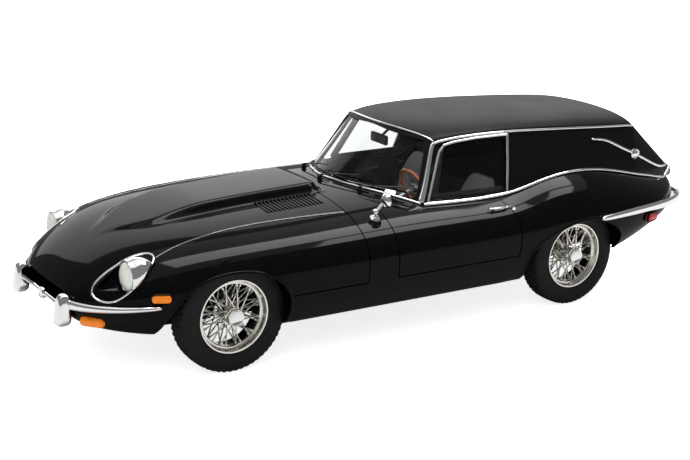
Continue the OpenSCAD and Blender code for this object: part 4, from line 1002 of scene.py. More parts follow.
class BRAKE_OT_body(bpy.types.Operator):
    """Make the painted body with its wells, gaps and louvres"""
    bl_idname = "brake.make_body"
    bl_label = "Body"

    def execute(self, context):
        sizes = context.scene.brake_sizes
        body = wrap("body_skin", body_rings(230, 132, 12))
        skin = copied(body, "body_uncut")
        for step in (cut_cabin, cut_wheel_wells, cut_mouth, cut_lamp_wells, cut_base_pocket):
            step(body)
        cut_panel_gaps(body, sizes)
        keep_shading(body, skin)
        finished(body, "gloss_black", "body_paint", "body_shell", angle=0)
        finished(make_louvre_lips(sizes), "gloss_black", "body_paint")
        finished(make_arch_lips(), "gloss_black", "body_paint")
        return {"FINISHED"}


# Greenhouse

SCREEN_SHARES = ((0.635, 0.868), (0.495, 1.158), (0.0, 1.192))
DOOR_WINDOW_SHARES = ((-0.006, 0.860), (-0.062, 1.125), (-0.090, 1.152), (-0.276, 1.162), (-0.251, 0.850))
REAR_WINDOW_SHARES = ((0.385, 0.880), (0.365, 1.085))
HEADER_SHARE, CREASE_SHARE = -0.075, -0.765
TAILGATE_SPAN_SHARES, TAILGATE_HALF_SHARE = (-0.776, -0.918), 0.520
TAIL_NORMAL = (-0.63, 0, 0.78)
CORNER_R = 1.2 * MM
# Curved panes: name, node, places along the half length, and degrees round the roof where they start
PANES = (("windscreen_pane", "windscreen", (-0.0465, 0.016), 12),
         ("rear_pane", "rear_window", (-0.925, -0.785), 38))
# Door panes: front and rear edge at the foot, how far each leans back to the head, and the heights
DOOR_PANE_SHARES, DOOR_PANE_LEANS = np.array((0.006, -0.262)), np.array((0.062, 0.026))
DOOR_PANE_HEIGHTS = (0.838, 1.172)


def window_outline(shares, across):
    points = [(s[0] * across, cabin_z(s[1])) for s in shares]
    return np.array(points)


def mirrored_outline(shares):
    points = window_outline(shares, HALF_WIDTH)
    twin = points[points[:, 0] > TINY] * (-1, 1)
    return hull_outline(np.concatenate([points, twin]), CORNER_R)


def pane(name, rows, degrees, inset, thickness):
    """A curved pane that follows the greenhouse between two places."""
    r = CABIN.at(even(rows, HALF_LENGTH, 20))
    grid = [roof_points(row, np.linspace(degrees, 180 - degrees, 40), inset) for row in r]
    return thickened(wrap(name, grid, around=False), thickness)


def thickened(sheet, thickness):
    """Gives an open sheet its thickness, half to each side."""
    in_edit(sheet, face_outwards)
    pick(sheet)
    step = sheet.modifiers.new("Wall", "SOLIDIFY")
    step.thickness = thickness
    step.offset = 0
    bpy.ops.object.modifier_apply(modifier=step.name)
    return in_edit(sheet, face_outwards)


def tail_points(x, y):
    """Points on the sloping tail panel at places along and across the car."""
    rows = CABIN.at(x)
    shares = y / rows[:, 2]
    degrees = np.degrees(np.arccos(squared(shares, rows[:, 5] / 2)))
    return np.concatenate([roof_points(r, d) for r, d in zip(rows, degrees)])


def cut_tailgate_gap(roof, sizes):
    """Gaps down both sides and along the foot of the tailgate."""
    x = even(TAILGATE_SPAN_SHARES, HALF_LENGTH, 30)
    wide = TAILGATE_HALF_SHARE * HALF_WIDTH
    for side in SIDES:
        groove(roof, tail_points(x, np.full(30, side * wide)), TAIL_NORMAL, sizes)
    groove(roof, tail_points(np.full(60, x[-1]), np.linspace(-wide, wide, 60)), TAIL_NORMAL, sizes)


def make_tailgate_seal(bead):
    """A black seal where the tail panel stands on the body."""
    rows = spline(CABIN.rows, np.linspace(0.88, 1, 200))
    path = []
    for degrees in np.linspace(4, 176, 70):
        points = np.concatenate([roof_points(r, degrees) for r in rows])
        above = points[:, 2] > body_z(points[:, 0], points[:, 1])
        path.append(points[above][-1])
    return sweep("tailgate_seal", np.array(path), TAIL_NORMAL, 0.5 * bead, 0.4 * bead)


class BRAKE_OT_roof(bpy.types.Operator):
    """Make the satin roof with its window openings, the tailgate gap and its seal"""
    bl_idname = "brake.make_roof"
    bl_label = "Roof"

    def execute(self, context):
        sizes = context.scene.brake_sizes
        roof = wrap("roof_skin", cabin_rings(220, 80, 22))
        skin = copied(roof, "roof_uncut")
        cut(roof, wrap("roof_inside", cabin_rings(80, 40, 10, ROOF_WALL)))
        cut(roof, wrap("body_below", body_rings(150, 90, 8, -SEAT_GAP / 4)))
        far = 2 * HALF_LENGTH
        cut(roof, prism("screen", mirrored_outline(SCREEN_SHARES), HEADER_SHARE * HALF_LENGTH, far, "yz"))
        cut(roof, prism("rear", mirrored_outline(REAR_WINDOW_SHARES), -far, CREASE_SHARE * HALF_LENGTH, "yz"))
        door = hull_outline(window_outline(DOOR_WINDOW_SHARES, HALF_LENGTH), CORNER_R)
        cut(roof, prism("door", door, -far, far, "xz"))
        cut_tailgate_gap(roof, sizes)
        keep_shading(roof, skin)
        finished(roof, "satin_black", "roof_paint", "roof_shell", angle=0)
        finished(make_tailgate_seal(sizes.bead), "wiper_black", "wiper_black")
        return {"FINISHED"}


class BRAKE_OT_glass(bpy.types.Operator):
    """Make the windscreen, the door windows and the rear window"""
    bl_idname = "brake.make_glass"
    bl_label = "Glass"

    def execute(self, context):
        t = context.scene.brake_sizes.glass
        middle = ROOF_WALL / 2
        for name, node, rows, start in PANES:
            finished(pane(name, rows, start, middle, t), "glass", "glass", node)
        for side, name in ((1, "left"), (-1, "right")):
            rows = []
            for share, height in zip(np.linspace(0, 1, 16), cabin_z(np.linspace(*DOOR_PANE_HEIGHTS, 16))):
                x = np.linspace(*(DOOR_PANE_SHARES - DOOR_PANE_LEANS * share), 20) * HALF_LENGTH
                rows.append(on_side(x, np.full(20, height), side, -middle))
            door = thickened(wrap("door_pane_" + name, rows, around=False), t)
            finished(door, "glass", "glass", "window_" + name)
        return {"FINISHED"}


# Brightwork

WAIST_SPAN_SHARES = (0.016, -0.868)
KICK_SHARES = ((-0.884, 0.740), (-0.899, 0.743), (-0.910, 0.754), (-0.922, 0.776), (-0.935, 0.805))
WAIST_LIFT_SHARES = (-0.35, -0.60)
WINDOW_LOOP_SHARES = ((-0.030, 0.985), (-0.060, 1.118), (-0.078, 1.155), (-0.110, 1.170), (-0.180, 1.182),
                      (-0.288, 1.184), (-0.272, 1.010))
LOOP_FOOT_SHARES = (-0.257, -0.170, -0.080, 0.006)
DRIP_SPAN_SHARES = (-0.052, -0.758)
BEAD_PATH_SHARES = ((0.780, 0.650), (0.680, 0.618), (0.510, 0.612), (0.370, 0.640), (0.255, 0.665))
LANDAU_SHARES = ((-0.590, 1.093), (-0.643, 1.082), (-0.693, 1.018), (-0.744, 0.969), (-0.811, 0.893),
                 (-0.866, 0.832), (-0.906, 0.834))
LANDAU_BOSS = ((0, -0.6), (1.95, -0.6), (1.95, 0.3), (1.6, 0.55), (1.3, 0.4), (1.0, 0.7), (0, 0.85))
PILLAR_SPAN_SHARES, HEADER_TRIM_SHARE = (0.022, -0.0475), -0.0485
SCREEN_FOOT_SHARE = 0.024


def waist_height(x):
    """Height where the greenhouse meets the body."""
    low, high = FOOT_Z - 2 * MM, ROOF_HEIGHT
    for _ in range(24):
        mid = (low + high) / 2
        row = CABIN.at(x)[0]
        if body_z(x, cabin_y(row, mid))[0] > mid:
            low = mid
        else:
            high = mid
    return mid


def make_screen_surround(bead):
    """Wide pillars, a header and a thin foot round the windscreen."""
    lift = 0.25 * bead
    rows = CABIN.at(np.linspace(*PILLAR_SPAN_SHARES, 30) * HALF_LENGTH)
    pillar = np.array([roof_points(r, 0, -lift)[0] for r in rows])
    wide = bead * np.linspace(1.0, 0.62, 30)
    pillars = pair(sweep("pillar", pillar, (0.55, 1, 0.5), wide, 0.42 * bead), "pillars")
    header = roof_points(CABIN.at(HEADER_TRIM_SHARE * HALF_LENGTH)[0], np.linspace(2, 178, 60), -lift)
    header = sweep("header", header, (1, 0, 1), 0.34 * bead, 0.36 * bead)
    foot = roof_points(CABIN.at(SCREEN_FOOT_SHARE * HALF_LENGTH)[0], np.linspace(3, 177, 70), -lift)
    foot[:, 0] += lift
    foot[:, 2] = body_z(foot[:, 0], foot[:, 1]) + lift
    foot = sweep("foot", foot, (0, 0, 1), 0.42 * bead, 0.42 * bead)
    return joined("windscreen_surround", pillars, header, foot)


def make_waist_trims(bead):
    """Lines along the waist that climb over the haunch and kick up at the tail corners."""
    xs = even(WAIST_SPAN_SHARES, HALF_LENGTH, 90)
    up = bead * (0.3 + 0.3 * smooth(*shares_of(WAIST_LIFT_SHARES, HALF_LENGTH), xs))
    points = [on_side(x, waist_height(x), 1, 0.4 * bead)[0] + (0, 0, u) for x, u in zip(xs, up)]
    kick = [on_side(x, z + 0.5 * bead, 1, 0.4 * bead)[0]
            for x, z in shares_of(KICK_SHARES, (HALF_LENGTH, HAUNCH))]
    path = spline(np.array(points[::6] + kick), np.linspace(0, 1, 140))
    return pair(sweep("waist", path, (0, 1, 0.8), 0.5 * bead, 0.42 * bead), "waist_lines")


def rounded_loop(points, steps=160):
    """A closed smooth loop near its corner points."""
    p = np.asarray(points, float)
    u = np.linspace(0, len(p), steps, endpoint=False)
    i = u.astype(int)
    t = (u - i)[:, None]
    a, b, c = p[i - 1], p[i], p[(i + 1) % len(p)]
    return (1 - t) ** 2 / 2 * a + (0.5 + t - t * t) * b + t * t / 2 * c


def make_window_frames(bead):
    """Loops round the door windows."""
    corners = [(s[0] * HALF_LENGTH, cabin_z(s[1])) for s in WINDOW_LOOP_SHARES]
    corners += [(x, waist_height(x) + 0.5 * bead) for x in shares_of(LOOP_FOOT_SHARES, HALF_LENGTH)]
    loop = np.array([on_side(x, z, 1, 0.25 * bead)[0] for x, z in corners])
    loop = rounded_loop(np.repeat(loop, 2, 0))
    surround = sweep("frame", loop, (0, 1, 0.2), 0.42 * bead, 0.38 * bead, closed=True)
    return pair(surround, "window_surrounds")


def make_drip_trims(bead):
    """Lines along the edges of the roof."""
    rows = CABIN.at(even(DRIP_SPAN_SHARES, HALF_LENGTH, 80))
    path = np.stack([rows[:, 0], rows[:, 2] + 0.25 * bead, rows[:, 3]], -1)
    return pair(sweep("drip", path, (0, 1, 0.4), 0.42 * bead, 0.4 * bead), "drip_lines")


def make_wing_beads(bead):
    """Thin beads along the seams of the wings."""
    s = spline(BEAD_PATH_SHARES, np.linspace(0, 1, 80)) * (HALF_LENGTH, HALF_WIDTH)
    path, normals = on_top(s[:, 0], s[:, 1], 0.1 * bead)
    return pair(sweep("bead", path, normals, 0.16 * bead, 0.26 * bead), "wing_lines")


def make_landau_bars(bead):
    """Curved bars on the quarters, each with a round boss."""
    s = spline(LANDAU_SHARES, np.linspace(0, 1, 60))
    path = on_side(s[:, 0] * HALF_LENGTH, cabin_z(s[:, 1]), 1, 0.4 * bead)
    thick = bead * (0.34 + 0.24 * np.sin(np.linspace(0, math.pi, 60)))
    bar = sweep("bar", path, (0, 1, 0), thick, 0.4 * bead)
    boss = placed(turned("boss", LANDAU_BOSS, 40, bead), path[30], (math.radians(-90), 0, 0))
    return pair(joined("landau", bar, boss), "landau_irons")


class BRAKE_OT_brightwork(bpy.types.Operator):
    """Make the bright beads, surrounds and landau bars"""
    bl_idname = "brake.make_brightwork"
    bl_label = "Brightwork"

    def execute(self, context):
        bead = context.scene.brake_sizes.bead
        for make, node in ((make_screen_surround, "windscreen_frame"), (make_waist_trims, "waist_trims"),
                           (make_window_frames, "window_frames"), (make_drip_trims, "drip_trims"),
                           (make_wing_beads, "wing_beads"), (make_landau_bars, "landau_bars")):
            finished(make(bead), "chrome", "chrome", node)
        return {"FINISHED"}


# Bumpers

FRONT_BLADE_SHARES = ((0.960, 0.435), (0.936, 0.440), (0.880, 0.452), (0.800, 0.475))
REAR_BLADE_SHARES = ((-0.530, 0.628), (-0.700, 0.638), (-0.860, 0.622), (-0.945, 0.604), (-0.968, 0.600),
                     (-0.9735, 0.600))
FRONT_POST_SHARES, REAR_POST_SHARES = (0.377, 0.400), (0.390, 0.612)
BLADE_H, REAR_BLADE_H, BLADE_T, BLADE_PROUD = 3.4 * MM, 5.4 * MM, 1.7 * MM, 2.2 * MM
POST_SIZE, REAR_POST_SIZE = np.array((5.0, 5.4, 10)) * MM, np.array((3.2, 3.4, 8.4)) * MM
MOUTH_BAR_R, MOUTH_BOSS_R = 0.8 * MM, 1.8 * MM
MOUTH_BOSS = ((0, -1 / 2), (0.9, -1 / 2), (1, -1 / 4), (1, 1 / 3), (0.86, 1 / 2), (0.7, 0.4), (0, 0.55))


def blade_path(shares, t, proud=0.0):
    """A line along the flank, standing off by half the blade and what it is proud at its rear end."""
    s = spline(shares, t) * (HALF_LENGTH, HAUNCH)
    path, normals = on_flank(s[:, 0], s[:, 1])
    return path + (BLADE_T / 2 + SEAT_GAP + proud * smooth(0.2, 0.75, t))[:, None] * normals


def post_place(end, size, shares):
    """Middle of an overrider that ends where the car does."""
    return np.array((end * (HALF_LENGTH - size[0] / 2), shares[0] * HALF_WIDTH, shares[1] * HAUNCH))


def make_post(at, size):
    """An upright overrider: a rounded block that narrows and leans back towards its head."""
    a = ring_angles(40)
    out = np.stack([squared(np.cos(a), 0.55), squared(np.sin(a), 0.55)], -1)
    rings = []
    for t in np.sin(np.linspace(-1, 1, 25) * math.pi / 2):
        wide = (1 - abs(t) ** 5) ** 0.5 * (0.88 - 0.16 * t)
        centre = (-0.06 * size[0] * (t + 1), 0, t * size[2] / 2)
        rings.append(np.pad(wide * out * size[:2] / 2, ((0, 0), (0, 1))) + centre + at)
    return wrap("post", rings)


def make_bumpers(name, path, high, at, size):
    """A blade with its overrider, and their twins."""
    blade = sweep("blade", path, (0, 0, 1), BLADE_T / 2, high, 20)
    return pair(joined("bumper", blade, make_post(at, size)), name)


def make_mouth_bar(height):
    """A bar across the mouth between the overriders, with a plain round boss."""
    x = HALF_LENGTH - 0.75 * POST_SIZE[0]
    reach = FRONT_POST_SHARES[0] * HALF_WIDTH - 0.4 * POST_SIZE[1]
    bar = rod("bar", (x, -reach, height), (x, reach, height), MOUTH_BAR_R, 16)
    boss = turned("boss", MOUTH_BOSS, 40, MOUTH_BOSS_R)
    placed(boss, (x + MOUTH_BAR_R / 2, 0, height), (0, math.radians(90), 0))
    return joined("mouth_bar_set", bar, boss)


class BRAKE_OT_bumpers(bpy.types.Operator):
    """Make the bumper blades, the overriders and the mouth bar"""
    bl_idname = "brake.make_bumpers"
    bl_label = "Bumpers"

    def execute(self, context):
        t = np.linspace(0, 1, 61)
        at = post_place(1, POST_SIZE, FRONT_POST_SHARES)
        bar_height = at[2]
        high = BLADE_H / 2 * (1 - 0.74 * t)
        front = make_bumpers("front_bumper_set", blade_path(FRONT_BLADE_SHARES, t), high, at, POST_SIZE)
        finished(front, "chrome", "chrome", "front_bumpers")
        at = post_place(-1, REAR_POST_SIZE, REAR_POST_SHARES)
        path = np.concatenate([blade_path(REAR_BLADE_SHARES, t, BLADE_PROUD), at[None]])
        high = REAR_BLADE_H / 2 * np.append(0.2 + 0.75 * t ** 0.7, 0.95)
        rear = make_bumpers("rear_bumper_set", path, high, at, REAR_POST_SIZE)
        finished(rear, "chrome", "chrome", "rear_bumpers")
        finished(make_mouth_bar(bar_height), "chrome", "chrome", "mouth_bar")
        return {"FINISHED"}


# Lamps

RING_SHARES = (
    (0.923, 0.509, 0.534), (0.925, 0.544, 0.500), (0.912, 0.598, 0.482), (0.895, 0.648, 0.483),
    (0.873, 0.694, 0.517), (0.847, 0.721, 0.574), (0.825, 0.718, 0.624), (0.802, 0.698, 0.669),
    (0.783, 0.647, 0.708), (0.784, 0.594, 0.722), (0.804, 0.547, 0.714), (0.834, 0.520, 0.688),
    (0.859, 0.515, 0.656), (0.888, 0.504, 0.614), (0.910, 0.498, 0.571))
RING_NORMAL = (0.5, 0.45, 0.74)
# Shares of the lamp's radius: how far ahead and how wide the bowl is, and the bulb's outline
BOWL_SHARES = ((0.12, 1.0), (0.2, 0.97), (0.2, 0.91), (0.15, 0.87), (0.0, 0.84), (-0.2, 0.78),
               (-0.4, 0.66), (-0.55, 0.45), (-0.6, 0.2))
BULB_OUTLINE = ((0, -0.58), (0.16, -0.58), (0.18, -0.2), (0.12, -0.1), (0, -0.06))
RIM_ROOM = 0.2 * MM
# Small lamps: place on the flank, size, and how far they turn towards the end of the car
SIGNAL = ((0.926, 0.353), (8 * MM, 3 * MM, 3 * MM), 50)
MARKER = ((0.798, 0.524), (6 * MM, 3 * MM, 2.6 * MM), 24)
TAIL = ((-0.755, 0.558), (6.4 * MM, 3 * MM, 2.8 * MM), -17)


def set_in_flank(piece, lamp, name):
    """Puts a small lamp's piece at its place on the flank, with its twin."""
    spot, _, turn = lamp
    at = on_flank(spot[0] * HALF_LENGTH, spot[1] * HAUNCH)[0][0]
    return pair(placed(piece, at, (0, 0, math.radians(-turn))), name)


def make_small_lamp(name, lamp):
    """A rounded lens let into the flank."""
    size = lamp[1]
    return set_in_flank(rounded_box(name, size, 0.45 * size[2], 6), lamp, name)


def make_bezel(name, lamp):
    """A rim round a small lamp."""
    size = lamp[1]
    a = ring_angles(48)
    wide, high = size[0] / 2 + RIM_ROOM, size[2] / 2 + RIM_ROOM
    loop = np.stack([wide * squared(np.cos(a), 0.5), np.full_like(a, 0.2 * size[1]),
                     high * squared(np.sin(a), 0.7)], -1)
    return set_in_flank(sweep(name, loop, (0, 1, 0), 0.28 * MM, 0.4 * MM, 10, closed=True), lamp, name)


def make_well_rings(bead):
    """Thin ovals laid on the body round the headlamp wells."""
    away = unit(RING_NORMAL)
    path = rounded_loop(shares_of(RING_SHARES, SPOT), 120) + 0.2 * bead * away
    return pair(sweep("ring", path, away, 0.34 * bead, 0.36 * bead, 10, closed=True), "lamp_rings")


def make_bucket():
    """A bright bucket drawn back to a tip, with a rolled bezel and a hollow bowl in front."""
    a = ring_angles(64)
    circle = np.stack([0 * a, np.cos(a), np.sin(a)], -1)
    rings = []
    for t in np.linspace(1, 0, 24):
        r = LAMP_R + (BUCKET_TIP_R - LAMP_R) * t * t
        rings.append(LAMP_AT + (BUCKET_TIP - LAMP_AT) * t + r * circle)
    for ahead, wide in BOWL_SHARES:
        rings.append(LAMP_AT + LAMP_R * (np.array((ahead, 0, 0)) + wide * circle))
    return wrap("bucket", rings)


class BRAKE_OT_lamps(bpy.types.Operator):
    """Make the headlamps, turn signals, side markers and tail lamps"""
    bl_idname = "brake.make_lamps"
    bl_label = "Lamps"

    def execute(self, context):
        bead = context.scene.brake_sizes.bead
        turn = (0, math.radians(90), 0)
        bulb = placed(turned("bulb", BULB_OUTLINE, 24, LAMP_R), LAMP_AT, turn)
        bowls = pair(joined("lamp", make_bucket(), bulb), "headlamp_bowls")
        finished(bowls, "chrome", "chrome", "headlamps")
        dome = [(0.85 * math.cos(k), 0.1 + 0.36 * math.sin(k)) for k in np.radians(np.linspace(0, 90, 14))]
        dome += [(0, 0.36), (0.8, 0.05)]
        lens = placed(turned("lens", dome, 64, LAMP_R), LAMP_AT, turn)
        finished(pair(lens, "headlamp_domes"), "lamp_glass", "lamp_glass", "headlamp_lenses")
        finished(make_well_rings(bead), "chrome", "chrome", "headlamp_rings")
        for name, lamp, lens, node in (("signal_lenses", SIGNAL, "amber_lens", "turn_signals"),
                                       ("marker_lenses", MARKER, "amber_lens", "side_markers"),
                                       ("tail_lenses", TAIL, "red_lens", "tail_lamps")):
            finished(make_small_lamp(name, lamp), lens, lens, node)
        for name, lamp in (("marker_rims", MARKER), ("tail_rims", TAIL)):
            finished(make_bezel(name, lamp), "gloss_black", "body_paint")
        return {"FINISHED"}


# Mirrors, wipers and handles

MIRROR_SHARES = (0.188, 0.782)
MIRROR_KNEE, MIRROR_TOP = np.array((0.3, 0.5, 2.4)) * MM, np.array((-3.2, 0.8, 5.7)) * MM
COLLAR_OUTLINE = ((0, 0), (1.7, 0), (1.7, 0.3), (1.3, 0.7), (0.7, 1), (0, 1))
HEAD_OUTLINE = ((0, -1.3), (1.5, -1.0), (2.4, -0.2), (2.6, 0.5), (2.5, 0.8), (2.2, 0.65), (0, 0.6))
WIPER_SHARES = (0.390, 0.020, -0.350)
WIPER_LENGTH, WIPER_REACH_SHARE, WIPER_TIP_SHARE = 17 * MM, 0.75, 0.012
WIPER_AHEAD, BLADE_SHARE, BLADE_LIMIT_SHARE = 3.1 * MM, 0.019, 0.62
PIVOT_OUTLINE = ((0, 0), (0.9, 0), (0.9, 0.9), (0.6, 1.5), (0, 1.7))
CABIN_MIRROR_T, CABIN_MIRROR_H = 1.2 * MM, 3.4 * MM
HANDLE_SHARES = (-0.198, 0.752)
HANDLE_HALF, HANDLE_OUT, BUTTON_BEHIND = 4.2 * MM, 1.1 * MM, 5.6 * MM
BUTTON_OUTLINE = ((0, -1), (0.8, -1), (0.8, 0.3), (0.6, 0.5), (0, 0.55))


def screen_point(share, y, lift):
    """A point on the windscreen at a place and half width."""
    r = CABIN.at(share * HALF_LENGTH)[0]
    q = y / r[2]
    x = r[0] + r[6] * (1 - q * q)
    z = r[3] + (r[4] - r[3]) * (1 - abs(q) ** r[5]) ** (1 / r[5])
    return np.array((x + lift * 0.6, y, z + lift))


def make_wing_mirror(bead):
    """A round head on a bent stem, with a collar on the wing and a knuckle at the knee."""
    foot, normal = on_top(MIRROR_SHARES[0] * HALF_LENGTH, MIRROR_SHARES[1] * HALF_WIDTH)
    foot, normal = foot[0], normal[0]
    knee, top = foot + MIRROR_KNEE, foot + MIRROR_TOP
    lean = Vector(normal).to_track_quat("Z", "Y").to_euler()
    collar = placed(turned("collar", COLLAR_OUTLINE, 32, bead), foot, lean)
    path = spline([foot, foot + normal * 2 * bead, knee, top], np.linspace(0, 1, 20))
    stem = sweep("stem", path, (0, 1, 0), 0.45 * bead, 0.45 * bead)
    ball = [(0, -1), *((math.cos(k), math.sin(k)) for k in np.linspace(-1.4, 1.4, 12)), (0, 1)]
    knuckle = placed(turned("knuckle", ball, 24, bead), knee)
    head = turned("head", HEAD_OUTLINE, 48, bead)
    placed(head, top, (0, math.radians(-90), math.radians(-8)))
    return joined("wing_mirror_set", collar, stem, knuckle, head)


def make_wipers():
    """Three arms with their blades lying along the foot of the windscreen."""
    parts = []
    limit = BLADE_LIMIT_SHARE * HALF_WIDTH
    for y in shares_of(WIPER_SHARES, HALF_WIDTH):
        foot = on_top(screen_point(SCREEN_FOOT_SHARE, y, 0)[0] + WIPER_AHEAD, y)[0][0]
        head = foot + (0, 0, 1.6 * MM)
        parts.append(placed(turned("pivot", PIVOT_OUTLINE, 20), foot))
        tip = screen_point(WIPER_TIP_SHARE, y + WIPER_LENGTH * WIPER_REACH_SHARE, 1.2 * MM)
        middle = (head + tip) / 2 + (0, 0, 0.3 * MM)
        arm = spline([head, head, middle, tip], np.linspace(0, 1, 16))
        parts.append(sweep("arm", arm, (0, 0, 1), 0.3 * MM, 0.22 * MM, 8))
        blade_y = np.clip(y + np.linspace(2 * MM, WIPER_LENGTH, 12), -limit, limit)
        blade = np.array([screen_point(BLADE_SHARE, b, 0.7 * MM) for b in blade_y])
        parts.append(sweep("blade", blade, (0.5, 0, 1), 0.22 * MM, 0.4 * MM, 8))
    return joined("wiper_set", *parts)


def make_handles():
    """Bowed grips on two posts, each with a push button behind it."""
    x, z = HANDLE_SHARES[0] * HALF_LENGTH, HANDLE_SHARES[1] * HAUNCH
    skin, normal = on_flank(x, z)
    out = skin[0] + normal[0] * HANDLE_OUT
    t = np.linspace(-1, 1, 24)
    path = out + np.stack([HANDLE_HALF * t, -0.5 * MM * t ** 2, 0 * t], -1)
    width = 0.42 * MM * (1 - 0.35 * np.abs(t) ** 3)
    grip = sweep("grip", path, normal[0], width, 0.34 * MM, 12)
    posts = [rod("post", skin[0] + (s * MM, -0.3 * MM, 0), out + (s * MM, 0, 0), 0.5 * MM)
             for s in (-2.6, 2.6)]
    at = on_flank(x - BUTTON_BEHIND, z)[0][0]
    button = placed(turned("button", BUTTON_OUTLINE, 24), at, (math.radians(-90), 0, 0))
    return pair(joined("handle", grip, *posts, button), "handle_set")


def make_cabin_mirror():
    """A small mirror that hangs from the header on its stem."""
    low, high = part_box("cabin_mirror")
    at = np.array((high.x - CABIN_MIRROR_T / 2, 0, low.z + CABIN_MIRROR_H / 2))
    size = (CABIN_MIRROR_T, high.y - low.y, CABIN_MIRROR_H)
    head = placed(rounded_box("cabin_mirror_head", size, 0.5 * MM), at)
    stem = rod("stem", at, (low.x + 0.4 * MM, 0, high.z - 0.3 * MM), 0.45 * MM)
    return joined("cabin_mirror_set", head, stem)


class BRAKE_OT_fittings(bpy.types.Operator):
    """Make the mirrors, the wipers and the door handles"""
    bl_idname = "brake.make_fittings"
    bl_label = "Mirrors, wipers and handles"

    def execute(self, context):
        bead = context.scene.brake_sizes.bead
        finished(make_wing_mirror(bead), "chrome", "chrome", "wing_mirror")
        finished(make_wipers(), "wiper_black", "wiper_black", "wipers")
        finished(make_handles(), "chrome", "chrome", "door_handles")
        finished(make_cabin_mirror(), "wiper_black", "wiper_black", "cabin_mirror")
        return {"FINISHED"}


# Wheels

# Outlines of what turns, in millimetres: radius, and place along the axle
RIM_OUTLINE = (
    (11.45, -3.6), (11.45, 3.2), (11.7, 3.6), (11.55, 3.95), (11.15, 3.9), (10.85, 3.4), (10.75, 2.6),
    (10.5, 2.3), (10.05, 2.3), (9.8, 2.0), (9.85, 1.5), (10.05, 0.9), (10.15, -1.2), (10.3, -3.6))
HUB_OUTLINE = (
    (0, -4), (3.4, -4), (3.4, -3.2), (2.5, -2.9), (2.2, -2.2), (2.0, 1.6), (2.6, 2.2), (2.6, 2.8),
    (2.2, 3.2), (2.1, 4), (0, 4))
CAP_OUTLINE = (
    (0, 4), (2.3, 4), (2.7, 4.3), (2.75, 4.9), (2.55, 5.25), (2.3, 5.3), (2.1, 5.15), (0, 5.2))
TYRE_OUTLINE = (
    (11.4, -3.5), (11.8, -4.0), (13.2, -4.35), (15.0, -4.5), (16.2, -4.42), (17.0, -4.15), (17.5, -3.75),
    (17.8, -3.3), (17.88, -2.85), (17.5, -2.7), (17.5, -2.4), (17.93, -2.25), (17.97, -1.15),
    (17.55, -1.0), (17.55, -0.7), (18.0, -0.55), (18.0, 0.55), (17.55, 0.7), (17.55, 1.0),
    (17.97, 1.15), (17.93, 2.25), (17.5, 2.4), (17.5, 2.7), (17.88, 2.85), (17.8, 3.3), (17.5, 3.75),
    (17.0, 4.15), (16.5, 4.33), (16.3, 4.3), (16.1, 4.42), (15.0, 4.5), (13.2, 4.35), (12.95, 4.28),
    (12.7, 4.22), (11.9, 4.0), (11.6, 3.6))
# Rows of spokes: crossed pairs, radius and place at the hub and at the rim, and lean in degrees
SPOKE_ROWS = ((12, 2.3, 2.5, 9.95, 1.55, 40.0), (12, 3.1, -3.2, 10.2, -0.4, 30.0))
SPOKE_CROSS = 0.25
# Tread: steps round the tyre, depth of the notches in the shoulders and in the ribs
TREAD_STEPS, SHOULDER_NOTCH, RIB_NOTCH = 168, 0.4 * MM, 0.22 * MM
# Radius and place along the axle past which the shoulders lie, and within which the ribs lie
SHOULDER_FROM, RIB_WITHIN = (17.4 * MM, 2.8 * MM), (17.8 * MM, 2.3 * MM)


def make_spokes(sizes):
    """Two rows of crossed wires between the hub and the rim, each with its nipple."""
    spokes = []
    for pairs, hub_r, hub_h, rim_r, rim_h, lean in SPOKE_ROWS:
        for k in range(pairs):
            for way in SIDES:
                a = 2 * math.pi * k / pairs - way * math.radians(lean) / 2
                b = a + way * math.radians(lean)
                start = np.array((hub_r * math.cos(a), hub_r * math.sin(a), hub_h + way * SPOKE_CROSS)) * MM
                end = np.array((rim_r * math.cos(b), rim_r * math.sin(b), rim_h + way * SPOKE_CROSS)) * MM
                spokes.append(rod("spoke", start, end, sizes.spoke / 2, 6))
                spokes.append(rod("nipple", end - 0.09 * (end - start), end, 0.8 * sizes.spoke, 6))
    return joined("spokes", *spokes)


def make_tyre():
    """A tyre with ribs round its tread, notched shoulders and lines on its walls."""
    tyre = turned("tyre", TYRE_OUTLINE, TREAD_STEPS)
    co = np.array([v.co for v in tyre.data.vertices])
    r = np.hypot(co[:, 0], co[:, 1])
    turn = np.round(np.arctan2(co[:, 1], co[:, 0]) / (2 * math.pi) * TREAD_STEPS).astype(int)
    away = np.abs(co[:, 2])
    shoulder = (r > SHOULDER_FROM[0]) & (away > SHOULDER_FROM[1]) & (turn % 3 == 0)
    rib = (r > RIB_WITHIN[0]) & (away < RIB_WITHIN[1]) & (turn % 4 == 0)
    drop = np.where(shoulder, SHOULDER_NOTCH, np.where(rib, RIB_NOTCH, 0))
    co[:, :2] *= ((r - drop) / r)[:, None]
    tyre.data.vertices.foreach_set("co", co.reshape(-1))
    tyre.data.update()
    return tyre


class BRAKE_OT_wheels(bpy.types.Operator):
    """Make the four wire wheels with their tyres and caps"""
    bl_idname = "brake.make_wheels"
    bl_label = "Wheels"

    def execute(self, context):
        sizes = context.scene.brake_sizes
        rim, hub = turned("rim", RIM_OUTLINE, 96), turned("hub", HUB_OUTLINE, 40)
        wheel = joined("wheel", rim, hub, make_spokes(sizes))
        parts = ((wheel, "wire_chrome", "wire", "wheel_"), (make_tyre(), "rubber", "tyre", "tyre_"),
                 (turned("cap", CAP_OUTLINE, 48), "chrome", "chrome", "spinner_"))
        for body, at in WHEEL_AT.items():
            end = body.replace("road_wheel_", "")
            turn = (math.radians(-90), 0, 0 if at.y > 0 else math.pi)
            for part, material, slot, stem in parts:
                piece = placed(copied(part, "made_" + stem + end), at, turn)
                finished(piece, material, slot, stem + end, body=body)
        remove(*(part[0] for part in parts))
        return {"FINISHED"}


# Cabin

